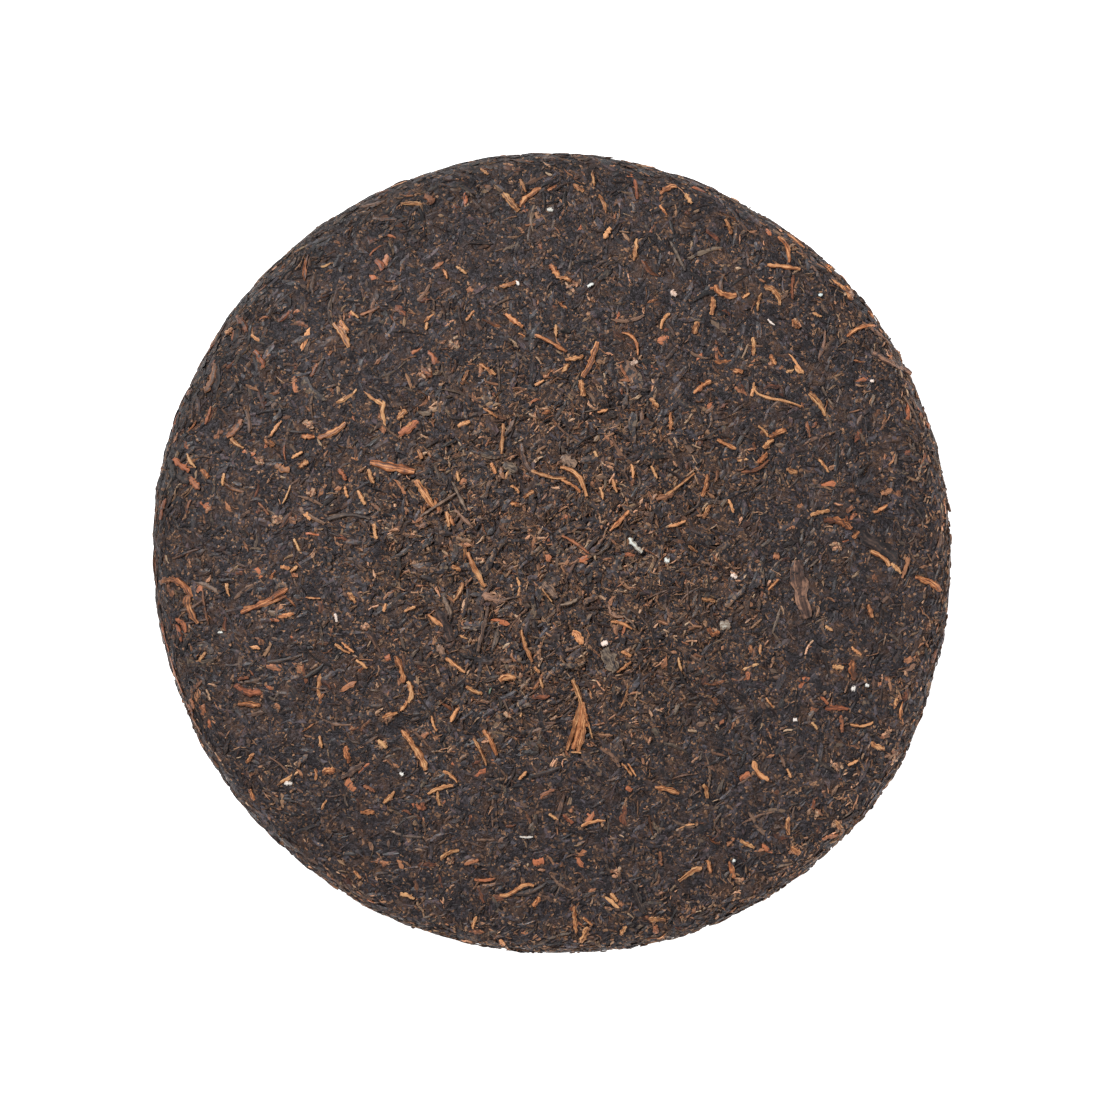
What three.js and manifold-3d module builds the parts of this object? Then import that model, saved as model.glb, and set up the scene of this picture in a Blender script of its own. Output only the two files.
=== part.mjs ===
// A pressed round cake of dark fermented pu erh tea, lying with its smooth face up.
// It is one solid: a pressed core of fine leaf, with the larger shreds and stems fused to it.
// Millimetres, +Z up, origin in the middle of the surface that it lies on.
import * as THREE from 'three';
import { mergeVertices } from 'three/addons/utils/BufferGeometryUtils.js';
import { SimplexNoise } from 'three/addons/math/SimplexNoise.js';
import Module from 'manifold-3d';

const wasm = await Module();
wasm.setup();

// Driving sizes of the pressed cake
const RADIUS = 100;
const THICKNESS = 25;
const RIM_HEIGHT = 7;
const SHOULDER_RADIUS = 96.5;
const SHOULDER_HEIGHT = 13.5;

// The underside: a flat ring to lie on round the dent that the knotted pressing bag leaves
const DENT_RADIUS = 27;
const DENT_DEPTH = 10;
const RING_RADIUS = 84;

// How fine the core is cut
const SEGMENTS = 72;
const DENT_STEPS = 4;
const SHOULDER_STEPS = 3;
const FACE_STEPS = 13;

// The core's own lumps, which are higher in the loosely pressed middle
const BROAD_LUMP = { size: 30, height: 0.5 };
const FINE_LUMP = { size: 9, height: 0.7 };
const LOOSE_MIDDLE = 45;
const LOOSE_GAIN = 1.5;
const LEAST_CLEARANCE = 0.3;

// How far the outline strays from a circle: waves round the rim, height and the angle of a crest
const OUTLINE_WAVES = [
  { count: 2, height: 0.55, crest: -50 },
  { count: 3, height: 0.33, crest: -49 },
  { count: 4, height: 0.32, crest: 41 },
  { count: 5, height: 0.15, crest: 28 },
  { count: 9, height: 0.14, crest: 8 },
];

// The photograph's frame, for the shreds that can be told apart there
const PHOTO_CENTRE = { x: 552.7, y: 554.1 };
const MM_PER_PIXEL = RADIUS / 400.7;

// Shreds that can be told apart, from end to end in pixels, with width and bow in millimetres
const KNOWN_SHREDS = [
  { name: 'forked gold shred', from: [243, 612], to: [290, 590], width: 1.7, bow: 0.6 },
  { name: 'curved orange shred', from: [176, 580], to: [201, 621], width: 1.8, bow: 2.0 },
  { name: 'red flake', from: [236, 686], to: [263, 700], width: 2.8, bow: 0.4 },
  { name: 'broad gold shred', from: [373, 466], to: [415, 473], width: 2.6, bow: 0.8 },
  { name: 'long grey stem', from: [479, 641], to: [490, 607], width: 1.3, bow: 0.2 },
  { name: 'folded leaf', from: [469, 553], to: [486, 585], width: 2.6, bow: -1.2 },
  { name: 'dark stem', from: [455, 484], to: [468, 511], width: 1.4, bow: 0.3 },
  { name: 'tan stem', from: [424, 516], to: [455, 494], width: 1.3, bow: 0.3 },
  { name: 'long tan shred', from: [522, 625], to: [532, 661], width: 1.6, bow: 0.5 },
  { name: 'wide tan flake', from: [572, 700], to: [584, 748], width: 3.6, bow: 0.8 },
  { name: 'hooked shred', from: [592, 350], to: [585, 398], width: 1.5, bow: -1.6 },
  { name: 'upper tan shred', from: [535, 337], to: [565, 354], width: 1.8, bow: 0.3 },
  { name: 'bent thin shred', from: [780, 240], to: [789, 264], width: 1.2, bow: 1.2 },
  { name: 'upright shred', from: [791, 275], to: [792, 300], width: 1.6, bow: 0.2 },
  { name: 'arched shred', from: [846, 337], to: [875, 330], width: 1.5, bow: 1.8 },
  { name: 'triangular flake', from: [830, 530], to: [848, 517], width: 3.2, bow: 0.2 },
  { name: 'orange flake', from: [914, 577], to: [938, 590], width: 2.6, bow: 0.3 },
  { name: 'lower orange shred', from: [751, 760], to: [766, 778], width: 1.7, bow: 0.3 },
  { name: 'orange pair', from: [806, 846], to: [835, 837], width: 2.4, bow: 0.4 },
  { name: 'rim stem', from: [872, 356], to: [908, 371], width: 1.4, bow: 0.1 },
];
const KNOWN_THICKNESS = 1.3;

// Shreds spread by rule over the face, the side and the underside
const SPREADS = [
  { place: 'face', count: 128, length: [5, 12], width: [1.4, 3.0], thick: [1.1, 1.7] },
  { place: 'side', count: 38, length: [6, 14], width: [1.5, 3.0], thick: [1.0, 1.6] },
  { place: 'dent', count: 8, length: [5, 9], width: [1.4, 2.8], thick: [1.0, 1.4] },
];
const CLEAR_OF_KNOWN = 6;
const RIM_ZONE = 78;
const RIM_SPREAD_DEGREES = 30;
const BOTTOM_FLAKE = { angle: -90, length: 26, width: 4.4, thick: 2.0 };

// A shred is a sphere of few sides, drawn out along a curve that lies on the core
const SHRED_SIDES = 4;
const KNOWN_STEPS = 4;
const SPREAD_STEPS = 3;
const BLUNT_TIPS = 0.45;
const CAST_FROM = 30;
const CAST_INSIDE_RIM = 3.5;
const SEED = 357;

const LEAF_BROWN = 0x4a3f3c;

const { degToRad, lerp, smoothstep } = THREE.MathUtils;
THREE.MathUtils.seededRandom(SEED);
const random = () => THREE.MathUtils.seededRandom();
const between = ([low, high]) => lerp(low, high, random() ** 1.6);
const noise = new SimplexNoise({ random });

const at = (x, y) => new THREE.Vector2(x, y);

// Half the cake's outline, in curves from the middle of the underside to the middle of the face
const dentCurve = new THREE.CubicBezierCurve(
  at(0, DENT_DEPTH), at(DENT_RADIUS * 0.45, DENT_DEPTH),
  at(DENT_RADIUS * 0.6, 0), at(DENT_RADIUS, 0),
);
const ringLine = new THREE.LineCurve(at(DENT_RADIUS, 0), at(RING_RADIUS, 0));
const lowerShoulder = new THREE.CubicBezierCurve(
  at(RING_RADIUS, 0), at(RADIUS * 0.94, 0),
  at(RADIUS, RIM_HEIGHT * 0.3), at(RADIUS, RIM_HEIGHT),
);
const upperShoulder = new THREE.CubicBezierCurve(
  at(RADIUS, RIM_HEIGHT), at(RADIUS, RIM_HEIGHT + 3.2),
  at(RADIUS * 0.987, SHOULDER_HEIGHT - 0.9), at(SHOULDER_RADIUS, SHOULDER_HEIGHT),
);
const faceCurve = new THREE.CubicBezierCurve(
  at(SHOULDER_RADIUS, SHOULDER_HEIGHT), at(RADIUS * 0.72, THICKNESS * 0.84),
  at(RADIUS * 0.36, THICKNESS), at(0, THICKNESS),
);

// How far the rim stands out of the circle at an angle
function outlineAt(angle) {
  let height = 0;
  for (const wave of OUTLINE_WAVES) {
    height += wave.height * Math.cos(wave.count * (angle - degToRad(wave.crest)));
  }
  return height;
}

// Height of the lumps at a place on the core
function lumpAt({ x, y, z }) {
  const rise = ({ size, height }) => height * noise.noise3d(x / size, y / size, z / size);
  const gain = lerp(LOOSE_GAIN, 1, smoothstep(Math.hypot(x, y), 0, LOOSE_MIDDLE));
  return rise(BROAD_LUMP) + rise(FINE_LUMP) * gain;
}

// Shared vertices only, and no triangle that has lost a side
function weld(geometry) {
  geometry.deleteAttribute('normal');
  geometry.deleteAttribute('uv');
  const welded = mergeVertices(geometry, 1e-3);
  const corners = welded.index.array;
  const kept = [];
  for (let i = 0; i < corners.length; i += 3) {
    const [a, b, c] = corners.slice(i, i + 3);
    if (a !== b && b !== c && c !== a) kept.push(a, b, c);
  }
  welded.setIndex(kept);
  return welded;
}

// The core: the outline turned round the axis, then pushed out by its lumps and its uneven rim
function coreGeometry() {
  const pieces = [
    dentCurve.getPoints(DENT_STEPS),
    ringLine.getPoints(1),
    lowerShoulder.getPoints(SHOULDER_STEPS),
    upperShoulder.getPoints(SHOULDER_STEPS),
    faceCurve.getPoints(FACE_STEPS),
  ];
  const profile = pieces.flatMap((points, i) => (i === 0 ? points : points.slice(1)));
  const turned = new THREE.LatheGeometry(profile, SEGMENTS).rotateX(Math.PI / 2);
  const core = weld(turned);
  core.computeVertexNormals();
  const { position, normal } = core.attributes;
  const point = new THREE.Vector3();
  const out = new THREE.Vector3();
  for (let i = 0; i < position.count; i += 1) {
    point.fromBufferAttribute(position, i);
    out.fromBufferAttribute(normal, i);
    const rests = point.z < 1e-3;
    const angle = Math.atan2(point.y, point.x);
    const reach = Math.hypot(point.x, point.y) / RADIUS;
    if (!rests) point.addScaledVector(out, lumpAt(point));
    const stretch = 1 + (outlineAt(angle) / RADIUS) * reach ** 3;
    const height = rests ? 0 : Math.max(point.z, LEAST_CLEARANCE);
    position.setXYZ(i, point.x * stretch, point.y * stretch, height);
  }
  core.deleteAttribute('normal');
  return core;
}

const core = coreGeometry();
const coreMesh = new THREE.Mesh(core, new THREE.MeshStandardMaterial({ side: THREE.DoubleSide }));
const caster = new THREE.Raycaster();

// Where a line from outside the cake towards a place meets the core. A shred that runs out over the
// rim keeps the height that the core has just inside it
function onCore(place, out) {
  const reach = Math.hypot(place.x, place.y);
  const over = Math.abs(out.z) > 0.99 ? Math.max(reach - (RADIUS - CAST_INSIDE_RIM), 0) : 0;
  const outward = new THREE.Vector3(place.x, place.y, 0).normalize().multiplyScalar(over);
  const start = place.clone().sub(outward).addScaledVector(out, CAST_FROM);
  caster.set(start, out.clone().negate());
  const [hit] = caster.intersectObject(coreMesh);
  return hit.point.add(outward);
}

// A shred that follows a line of places on the core, half sunk in it
function shredGeometry(centreAt, out, { width, thick, steps }) {
  const shred = weld(new THREE.SphereGeometry(1, SHRED_SIDES, steps));
  const { position } = shred.attributes;
  const point = new THREE.Vector3();
  for (let i = 0; i < position.count; i += 1) {
    point.fromBufferAttribute(position, i);
    const along = point.y;
    const girth = Math.max(Math.hypot(point.x, point.z), 1e-6);
    const swell = girth < 1e-3 ? 0 : girth ** BLUNT_TIPS / girth;
    const ahead = centreAt(Math.min(along + 0.1, 1)).sub(centreAt(Math.max(along - 0.1, -1)));
    const across = ahead.cross(out).normalize();
    const centre = centreAt(along);
    centre.addScaledVector(across, point.x * swell * width / 2);
    centre.addScaledVector(out, point.z * swell * thick / 2);
    position.setXYZ(i, centre.x, centre.y, centre.z);
  }
  return shred;
}

// A shred round a middle point on the core, with a heading and a sideways bow
function laidShred(middle, out, heading, shape) {
  const { length, bow } = shape;
  const ahead = heading.clone().addScaledVector(out, -heading.dot(out)).normalize();
  const across = ahead.clone().cross(out);
  const centreAt = (along) => {
    const place = middle.clone().addScaledVector(ahead, along * length / 2);
    place.addScaledVector(across, bow * (1 - along * along));
    return onCore(place, out);
  };
  return shredGeometry(centreAt, out, shape);
}

const UP = new THREE.Vector3(0, 0, 1);

function fromPhoto([x, y]) {
  return new THREE.Vector3((x - PHOTO_CENTRE.x) * MM_PER_PIXEL, (PHOTO_CENTRE.y - y) * MM_PER_PIXEL, THICKNESS);
}

function knownShred({ from, to, width, bow }) {
  const start = fromPhoto(from);
  const heading = fromPhoto(to).sub(start);
  const middle = start.clone().addScaledVector(heading, 0.5);
  const shape = { length: heading.length(), width, bow, thick: KNOWN_THICKNESS, steps: KNOWN_STEPS };
  return laidShred(middle, UP, heading, shape);
}

const knownMiddles = KNOWN_SHREDS.map(({ from, to }) => fromPhoto(from).add(fromPhoto(to)).multiplyScalar(0.5));

function drawnShape(spread) {
  const length = between(spread.length);
  const bow = (random() - 0.5) * length * 0.25;
  return { length, bow, width: between(spread.width), thick: between(spread.thick), steps: SPREAD_STEPS };
}

// Even spacing on a disc by the golden angle, with some play. Near the rim shreds lie along it
function faceShreds(spread, reach, out) {
  const goldenAngle = Math.PI * (3 - Math.sqrt(5));
  const shreds = [];
  for (let i = 0; i < spread.count; i += 1) {
    const radius = reach * Math.sqrt((i + 0.3 + 0.6 * random()) / spread.count);
    const angle = i * goldenAngle + (random() - 0.5) * 0.12;
    const middle = new THREE.Vector3(radius * Math.cos(angle), radius * Math.sin(angle), THICKNESS);
    const play = degToRad(RIM_SPREAD_DEGREES) * (random() * 2 - 1);
    const turn = radius > RIM_ZONE ? angle + Math.PI / 2 + play : random() * Math.PI;
    const heading = new THREE.Vector3(Math.cos(turn), Math.sin(turn), 0);
    const shape = drawnShape(spread);
    const clear = knownMiddles.every((known) => known.distanceTo(middle) > CLEAR_OF_KNOWN);
    if (clear || out.z < 0) shreds.push(laidShred(middle, out, heading, shape));
  }
  return shreds;
}

// Shreds along the side, on the upper or the lower shoulder by turns
function sideShreds(spread) {
  const shreds = [];
  for (let i = 0; i < spread.count; i += 1) {
    const curve = i % 3 === 0 ? lowerShoulder : upperShoulder;
    const along = i % 3 === 0 ? lerp(0.55, 0.95, random()) : lerp(0.1, 0.8, random());
    const angle = ((i + 0.7 * (random() - 0.5)) / spread.count) * Math.PI * 2;
    const tilt = degToRad(RIM_SPREAD_DEGREES) * (random() - 0.5);
    shreds.push(sideShred(curve, along, angle, tilt, drawnShape(spread)));
  }
  return shreds;
}

function sideShred(curve, along, angle, tilt, shape) {
  const { x: radius, y: height } = curve.getPoint(along);
  const slope = curve.getTangent(along);
  const round = new THREE.Vector3(Math.cos(angle), Math.sin(angle), 0);
  const out = round.clone().multiplyScalar(slope.y).addScaledVector(UP, -slope.x).normalize();
  const middle = round.clone().multiplyScalar(radius).setZ(height);
  const tangent = new THREE.Vector3(-Math.sin(angle), Math.cos(angle), 0);
  const heading = tangent.applyAxisAngle(out, tilt);
  return laidShred(middle, out, heading, shape);
}

function bottomFlake() {
  const shape = { ...BOTTOM_FLAKE, bow: 0, steps: KNOWN_STEPS };
  return sideShred(upperShoulder, 0.3, degToRad(BOTTOM_FLAKE.angle), 0, shape);
}

function solidOf(geometry) {
  const triVerts = new Uint32Array(geometry.index.array);
  const vertProperties = new Float32Array(geometry.attributes.position.array);
  return new wasm.Manifold(new wasm.Mesh({ numProp: 3, vertProperties, triVerts }));
}

function geometryOf(solid) {
  const { vertProperties, triVerts } = solid.getMesh();
  const geometry = new THREE.BufferGeometry();
  geometry.setAttribute('position', new THREE.BufferAttribute(vertProperties, 3));
  geometry.setIndex(new THREE.BufferAttribute(triVerts, 1));
  geometry.computeVertexNormals();
  return geometry;
}

const [faceSpread, sideSpread, dentSpread] = SPREADS;
const shreds = [
  ...KNOWN_SHREDS.map(knownShred),
  ...faceShreds(faceSpread, SHOULDER_RADIUS - 2, UP),
  ...sideShreds(sideSpread),
  ...faceShreds(dentSpread, DENT_RADIUS - 8, UP.clone().negate()),
  bottomFlake(),
];

let cake = solidOf(core);
for (const shred of shreds) cake = cake.add(solidOf(shred));

const leaf = new THREE.MeshStandardMaterial({ color: LEAF_BROWN, roughness: 0.85, metalness: 0 });
const teaCake = new THREE.Mesh(geometryOf(cake), leaf);
teaCake.name = 'tea_cake';

// The origin is under the middle of the cake's box
const middle = new THREE.Box3().setFromObject(teaCake).getCenter(new THREE.Vector3());
teaCake.position.set(-middle.x, -middle.y, 0);

const part = new THREE.Group();
part.add(teaCake);

export default part;
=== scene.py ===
# %% [markdown]
# # A pressed cake of dark tea
#
# A pu erh cake is loose fermented tea that was steamed in a cloth bag and pressed under a stone. What
# the eye meets is not one surface but thousands of torn leaves, stems and golden tips, all lying
# nearly flat and half sunk in a charcoal mass of finer leaf. The lesson builds it the same way: first
# the pressed mass, then each kind of leaf scattered over it, then the shreds that can be told apart.
#
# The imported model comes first. It is the frame that every piece has to fit.

# %% Load the frame
import math

import bmesh
import bpy
import numpy as np
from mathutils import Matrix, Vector


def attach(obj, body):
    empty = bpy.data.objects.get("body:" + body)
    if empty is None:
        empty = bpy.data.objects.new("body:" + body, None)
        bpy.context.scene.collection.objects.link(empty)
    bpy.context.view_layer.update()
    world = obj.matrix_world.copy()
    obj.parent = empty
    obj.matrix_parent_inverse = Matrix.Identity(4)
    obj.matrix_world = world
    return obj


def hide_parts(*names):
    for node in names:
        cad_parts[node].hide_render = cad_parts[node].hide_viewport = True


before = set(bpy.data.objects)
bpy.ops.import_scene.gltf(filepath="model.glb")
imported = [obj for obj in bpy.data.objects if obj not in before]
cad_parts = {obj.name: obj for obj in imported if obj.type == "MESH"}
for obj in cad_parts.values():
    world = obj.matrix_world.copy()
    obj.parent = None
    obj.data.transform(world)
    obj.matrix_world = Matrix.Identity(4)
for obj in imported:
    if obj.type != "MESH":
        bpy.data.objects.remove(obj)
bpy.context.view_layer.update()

MM = 0.001

# %% [markdown]
# ## Sizes
#
# The cake is 200 mm across and 25 mm thick in the middle. The solid in the frame was made from the
# same few sizes, so the dressed cake keeps its form. The photograph looks straight down, and its
# circle of 400.7 pixels gives the millimetres that one pixel stands for.

# %% The sizes of the cake and of the photograph
RADIUS = 100 * MM
THICKNESS = 25 * MM
RIM_HEIGHT = 7 * MM
SHOULDER_RADIUS = 96.5 * MM
SHOULDER_HEIGHT = 13.5 * MM
DENT_RADIUS = 27 * MM
DENT_DEPTH = 10 * MM
RING_RADIUS = 84 * MM

# Waves round the rim: how many, how high, and the angle of a crest
OUTLINE_WAVES = [
    (2, 0.55 * MM, -50),
    (3, 0.33 * MM, -49),
    (4, 0.32 * MM, 41),
    (5, 0.15 * MM, 28),
    (9, 0.14 * MM, 8),
]

# Low down on the right the rim swells a little, where its leaf is loose: the angle of the middle, the
# width of the swelling in degrees and its height
LOOSE_RIM = (-37, 12, 0.6 * MM)

PHOTO_SIZE = 1100
PHOTO_CENTRE = (552.7, 554.1)
PHOTO_RADIUS = 400.7
PIXEL = RADIUS / PHOTO_RADIUS

# How far the loose leaf stands out from the bed at the rim
LEAF_DEPTH = 0.45 * MM

# Bands between two distances from the axis: where the loose middle gives way to the pressed part,
# where leaf turns to lie along the rim, and where the leaf of the rim begins
MIDDLE_BAND = (30 * MM, 62 * MM)
LYING_BAND = (84 * MM, 97 * MM)
RIM_BAND = (89 * MM, 93 * MM)

# The axis that the cake is turned about lies a little off the middle of its uneven box
AXIS = Vector((0.8 * MM, -0.2 * MM, 0))


def from_photo(column, row):
    """A place on the cake, in plan, from a pixel of the photograph"""
    across = (column - PHOTO_CENTRE[0]) * PIXEL
    up = (PHOTO_CENTRE[1] - row) * PIXEL
    return AXIS.x + across, AXIS.y + up


print("one pixel is", round(PIXEL / MM, 3), "mm")

# %% [markdown]
# ## Helpers for node trees
#
# Every tree here, for shapes and for finishes, is built with the same few calls. The first adds a
# node, sets it up, joins its inputs and hands back an output. The others are short names for the
# arithmetic, ranges and noise that make up most of any tree.

# %% Helpers that add nodes
NUMBER, WHOLE = "NodeSocketFloat", "NodeSocketInt"
DIRECTION, COLOUR = "NodeSocketVector", "NodeSocketColor"


def add(tree, kind, inputs=None, out=0, **settings):
    """Adds a node, fills or links its inputs, and returns one of its outputs"""
    node = tree.nodes.new(kind)
    for name, value in settings.items():
        setattr(node, name, value)
    for key, value in (inputs or {}).items():
        if isinstance(value, bpy.types.NodeSocket):
            tree.links.new(value, node.inputs[key])
        else:
            node.inputs[key].default_value = value
    return node.outputs[out]


def sums(tree, operation, first, second=0.0):
    """One arithmetic step on numbers"""
    return add(tree, "ShaderNodeMath", {0: first, 1: second}, operation=operation)


def total(tree, first, *others):
    """The sum of some numbers"""
    for other in others:
        first = sums(tree, "ADD", first, other)
    return first


def product(tree, first, *others):
    """The product of some numbers"""
    for other in others:
        first = sums(tree, "MULTIPLY", first, other)
    return first


def less(tree, first, second):
    """A difference"""
    return sums(tree, "SUBTRACT", first, second)


def vectors(tree, operation, first, second=None, scale=None):
    """One arithmetic step on vectors"""
    inputs = {0: first}
    if second is not None:
        inputs[1] = second
    if scale is not None:
        inputs["Scale"] = scale
    return add(tree, "ShaderNodeVectorMath", inputs, operation=operation)


def length(tree, vector):
    return vectors(tree, "LENGTH", vector).node.outputs["Value"]


def dot(tree, first, second):
    return vectors(tree, "DOT_PRODUCT", first, second).node.outputs["Value"]


def parts(tree, vector):
    """The three numbers of a vector"""
    return add(tree, "ShaderNodeSeparateXYZ", {0: vector}).node.outputs


def joined(tree, x, y, z=0.0):
    """A vector from its numbers"""
    return add(tree, "ShaderNodeCombineXYZ", {0: x, 1: y, 2: z})


def from_axis(tree, place):
    """The level way from the axis of the cake to a place"""
    return vectors(tree, "MULTIPLY", vectors(tree, "SUBTRACT", place, AXIS[:]), (1, 1, 0))


def remap(tree, value, start, end, low=0.0, high=1.0, **settings):
    """A value moved from one range to another"""
    inputs = {"Value": value, "From Min": start, "From Max": end, "To Min": low, "To Max": high}
    return add(tree, "ShaderNodeMapRange", inputs, **settings)


def noise(tree, place, size, detail, rough=0.5, out=0):
    """Soft noise with patches of about this size"""
    inputs = {"Vector": place, "Scale": 1 / size, "Detail": detail, "Roughness": rough}
    return add(tree, "ShaderNodeTexNoise", inputs, out=out)


def own_share(tree, number, step=0.618):
    """A share between nothing and one that belongs to a numbered thing alone"""
    return sums(tree, "FRACT", product(tree, number, step))


def new_tree(name, sockets):
    """A geometry tree with named inputs. Returns the tree and its inputs by name"""
    tree = bpy.data.node_groups.new(name, "GeometryNodeTree")
    tree.interface.new_socket("Geometry", in_out="INPUT", socket_type="NodeSocketGeometry")
    tree.interface.new_socket("Geometry", in_out="OUTPUT", socket_type="NodeSocketGeometry")
    for socket_name, socket_type in sockets.items():
        tree.interface.new_socket(socket_name, in_out="INPUT", socket_type=socket_type)
    return tree, tree.nodes.new("NodeGroupInput").outputs


def grown(name, mesh, tree, values):
    """A new object whose mesh is what the tree makes of another mesh, with no modifier left on it"""
    source = bpy.data.objects.new(name, mesh)
    bpy.context.collection.objects.link(source)
    modifier = source.modifiers.new("shape", "NODES")
    modifier.node_group = tree
    for item in tree.interface.items_tree:
        if item.in_out == "INPUT" and item.name in values:
            modifier[item.identifier] = values[item.name]
    bpy.context.view_layer.update()
    depsgraph = bpy.context.evaluated_depsgraph_get()
    made = bpy.data.meshes.new_from_object(source.evaluated_get(depsgraph))
    source.modifiers.remove(modifier)
    source.data = made
    made.name = name
    return source

# %% [markdown]
# ## The pressed mass
#
# Half the outline of the cake is a chain of curves: the dent that the knot of the bag leaves, the
# flat ring it lies on, the rounded side and the long gentle dome. Turning it about the axis could be
# left to a Screw modifier, but that crowds its faces at the middle. Instead a square grid is bent
# into a disc for the face and another for the underside, and both meet at the widest line. All faces
# then have nearly one size, and the mesh is closed with no pole.

# %% The outline of the cake
def curve(start, first, second, end, steps=60):
    """Points along a Bezier curve"""
    share = np.linspace(0, 1, steps)[:, None]
    start, first, second, end = (np.array(point, float) for point in (start, first, second, end))
    back = 1 - share
    weights = back**3, 3 * back**2 * share, 3 * back * share**2, share**3
    return sum(weight * point for weight, point in zip(weights, (start, first, second, end)))


dent = curve(
    (0, DENT_DEPTH), (DENT_RADIUS * 0.45, DENT_DEPTH), (DENT_RADIUS * 0.6, 0), (DENT_RADIUS, 0)
)
lower_side = curve(
    (RING_RADIUS, 0), (RADIUS * 0.94, 0), (RADIUS, RIM_HEIGHT * 0.3), (RADIUS, RIM_HEIGHT)
)
upper_side = curve(
    (SHOULDER_RADIUS, SHOULDER_HEIGHT),
    (RADIUS * 0.987, SHOULDER_HEIGHT - 0.9 * MM),
    (RADIUS, RIM_HEIGHT + 3.2 * MM),
    (RADIUS, RIM_HEIGHT),
)
dome = curve(
    (0, THICKNESS),
    (RADIUS * 0.36, THICKNESS),
    (RADIUS * 0.72, THICKNESS * 0.84),
    (SHOULDER_RADIUS, SHOULDER_HEIGHT),
)
FACE_OUTLINE = np.vstack([dome, upper_side[1:]])
UNDERSIDE_OUTLINE = np.vstack([dent, lower_side])


def along(outline, share):
    """Distance from the axis and height, at a share of the way along an outline"""
    lengths = np.append(0, np.cumsum(np.hypot(*np.diff(outline, axis=0).T)))
    way = share * lengths[-1]
    return np.interp(way, lengths, outline[:, 0]), np.interp(way, lengths, outline[:, 1])


print("outline points:", len(FACE_OUTLINE) + len(UNDERSIDE_OUTLINE))

# %% The grid bent into two discs
GRID_STEPS = 216


def round_grid(steps):
    """A square grid bent into a disc: each point's share of the way out, its angle, and the faces"""
    line = np.linspace(-1, 1, steps + 1)
    a, b = (axis.ravel() for axis in np.meshgrid(line, line, indexing="ij"))
    wide = np.abs(a) > np.abs(b)
    reach = np.where(wide, a, b)
    safe = np.where(np.abs(reach) < 1e-9, 1, reach)
    turn = np.where(wide, math.pi / 4 * b / safe, math.pi / 2 - math.pi / 4 * a / safe)
    x, y = reach * np.cos(turn), reach * np.sin(turn)
    index = np.arange((steps + 1) ** 2).reshape(steps + 1, steps + 1)
    corners = [index[:-1, :-1], index[1:, :-1], index[1:, 1:], index[:-1, 1:]]
    return np.hypot(x, y), np.arctan2(y, x), np.stack([corner.ravel() for corner in corners], 1)


def half_cake(outline, grid):
    """The vertices of one side of the cake, with its uneven rim"""
    share, angle, _ = grid
    reach, height = along(outline, share)
    stray = 0
    for count, high, crest in OUTLINE_WAVES:
        stray = stray + high * np.cos(count * (angle - math.radians(crest)))
    middle, width, high = LOOSE_RIM
    stray = stray + high * np.exp(-(((np.degrees(angle) - middle) / width) ** 2))
    reach = reach * (1 + (stray - LEAF_DEPTH) / RADIUS * (reach / RADIUS) ** 3)
    return np.stack([AXIS.x + reach * np.cos(angle), AXIS.y + reach * np.sin(angle), height], 1)


def pressed_mass(steps):
    """The closed mesh of the cake before any relief"""
    grid = round_grid(steps)
    faces = grid[2]
    count = len(grid[0])
    mesh = bpy.data.meshes.new("pressed_mass")
    vertices = np.vstack([half_cake(FACE_OUTLINE, grid), half_cake(UNDERSIDE_OUTLINE, grid)])
    outer = np.flatnonzero(grid[0] > 1 - 1e-9)
    below = np.arange(count, 2 * count)
    below[outer] = outer
    mesh.from_pydata(vertices.tolist(), [], np.vstack([faces, below[faces][:, ::-1]]).tolist())
    return mesh


def without_strays(mesh):
    """Drops vertices that no face uses"""
    work = bmesh.new()
    work.from_mesh(mesh)
    bmesh.ops.delete(work, geom=[v for v in work.verts if not v.link_faces], context="VERTS")
    work.to_mesh(mesh)
    work.free()
    mesh.shade_smooth()
    return mesh


mass = without_strays(pressed_mass(GRID_STEPS))
print("the pressed mass has", len(mass.polygons) * 2, "triangles")

# %% [markdown]
# ## Lumps
#
# Steamed leaf never presses flat. Broad swells run over the whole cake, with smaller lumps on them,
# and in the middle, where the stone presses least, the leaf stays looser and rougher. A tree pushes
# the mesh along its normals by noise. What would go below the table is cut off just above it, which
# gives the underside its flat worn patches and leaves room for the leaf that it rests on.

# %% The tree that raises lumps
SKIN = 0.35 * MM
BROAD_SIZE, FINE_SIZE, GRAIN_SIZE = 26 * MM, 8 * MM, 2.6 * MM

# How much rougher the middle is than the rest
MIDDLE_ROUGH = 1.7


def lumps_tree():
    tree, given = new_tree("Pressed lumps", {"Broad": NUMBER, "Fine": NUMBER, "Grain": NUMBER})
    place = add(tree, "GeometryNodeInputPosition")
    normal = add(tree, "GeometryNodeInputNormal")
    spot = parts(tree, place)
    reach = length(tree, joined(tree, spot[0], spot[1]))
    loose = remap(tree, reach, *MIDDLE_BAND, MIDDLE_ROUGH, 1.0, interpolation_type="SMOOTHSTEP")

    def swell(size, detail, seed):
        offset = vectors(tree, "ADD", place, (seed, seed * 0.37, 0))
        return less(tree, noise(tree, offset, size, detail, 0.55), 0.5)

    broad = product(tree, swell(BROAD_SIZE, 1.0, 3.1), given["Broad"])
    fine = product(tree, swell(FINE_SIZE, 1.5, 7.7), given["Fine"], loose)
    grain = product(tree, swell(GRAIN_SIZE, 1.0, 1.9), given["Grain"], product(tree, loose, loose))
    moved = vectors(tree, "SCALE", normal, scale=total(tree, broad, total(tree, fine, grain)))
    x, y, z = parts(tree, vectors(tree, "ADD", place, moved))[:3]
    kept = joined(tree, x, y, sums(tree, "MAXIMUM", z, SKIN))
    shaped = add(tree, "GeometryNodeSetPosition", {"Geometry": given["Geometry"], "Position": kept})
    tree.links.new(shaped, tree.nodes.new("NodeGroupOutput").inputs[0])
    return tree


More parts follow.
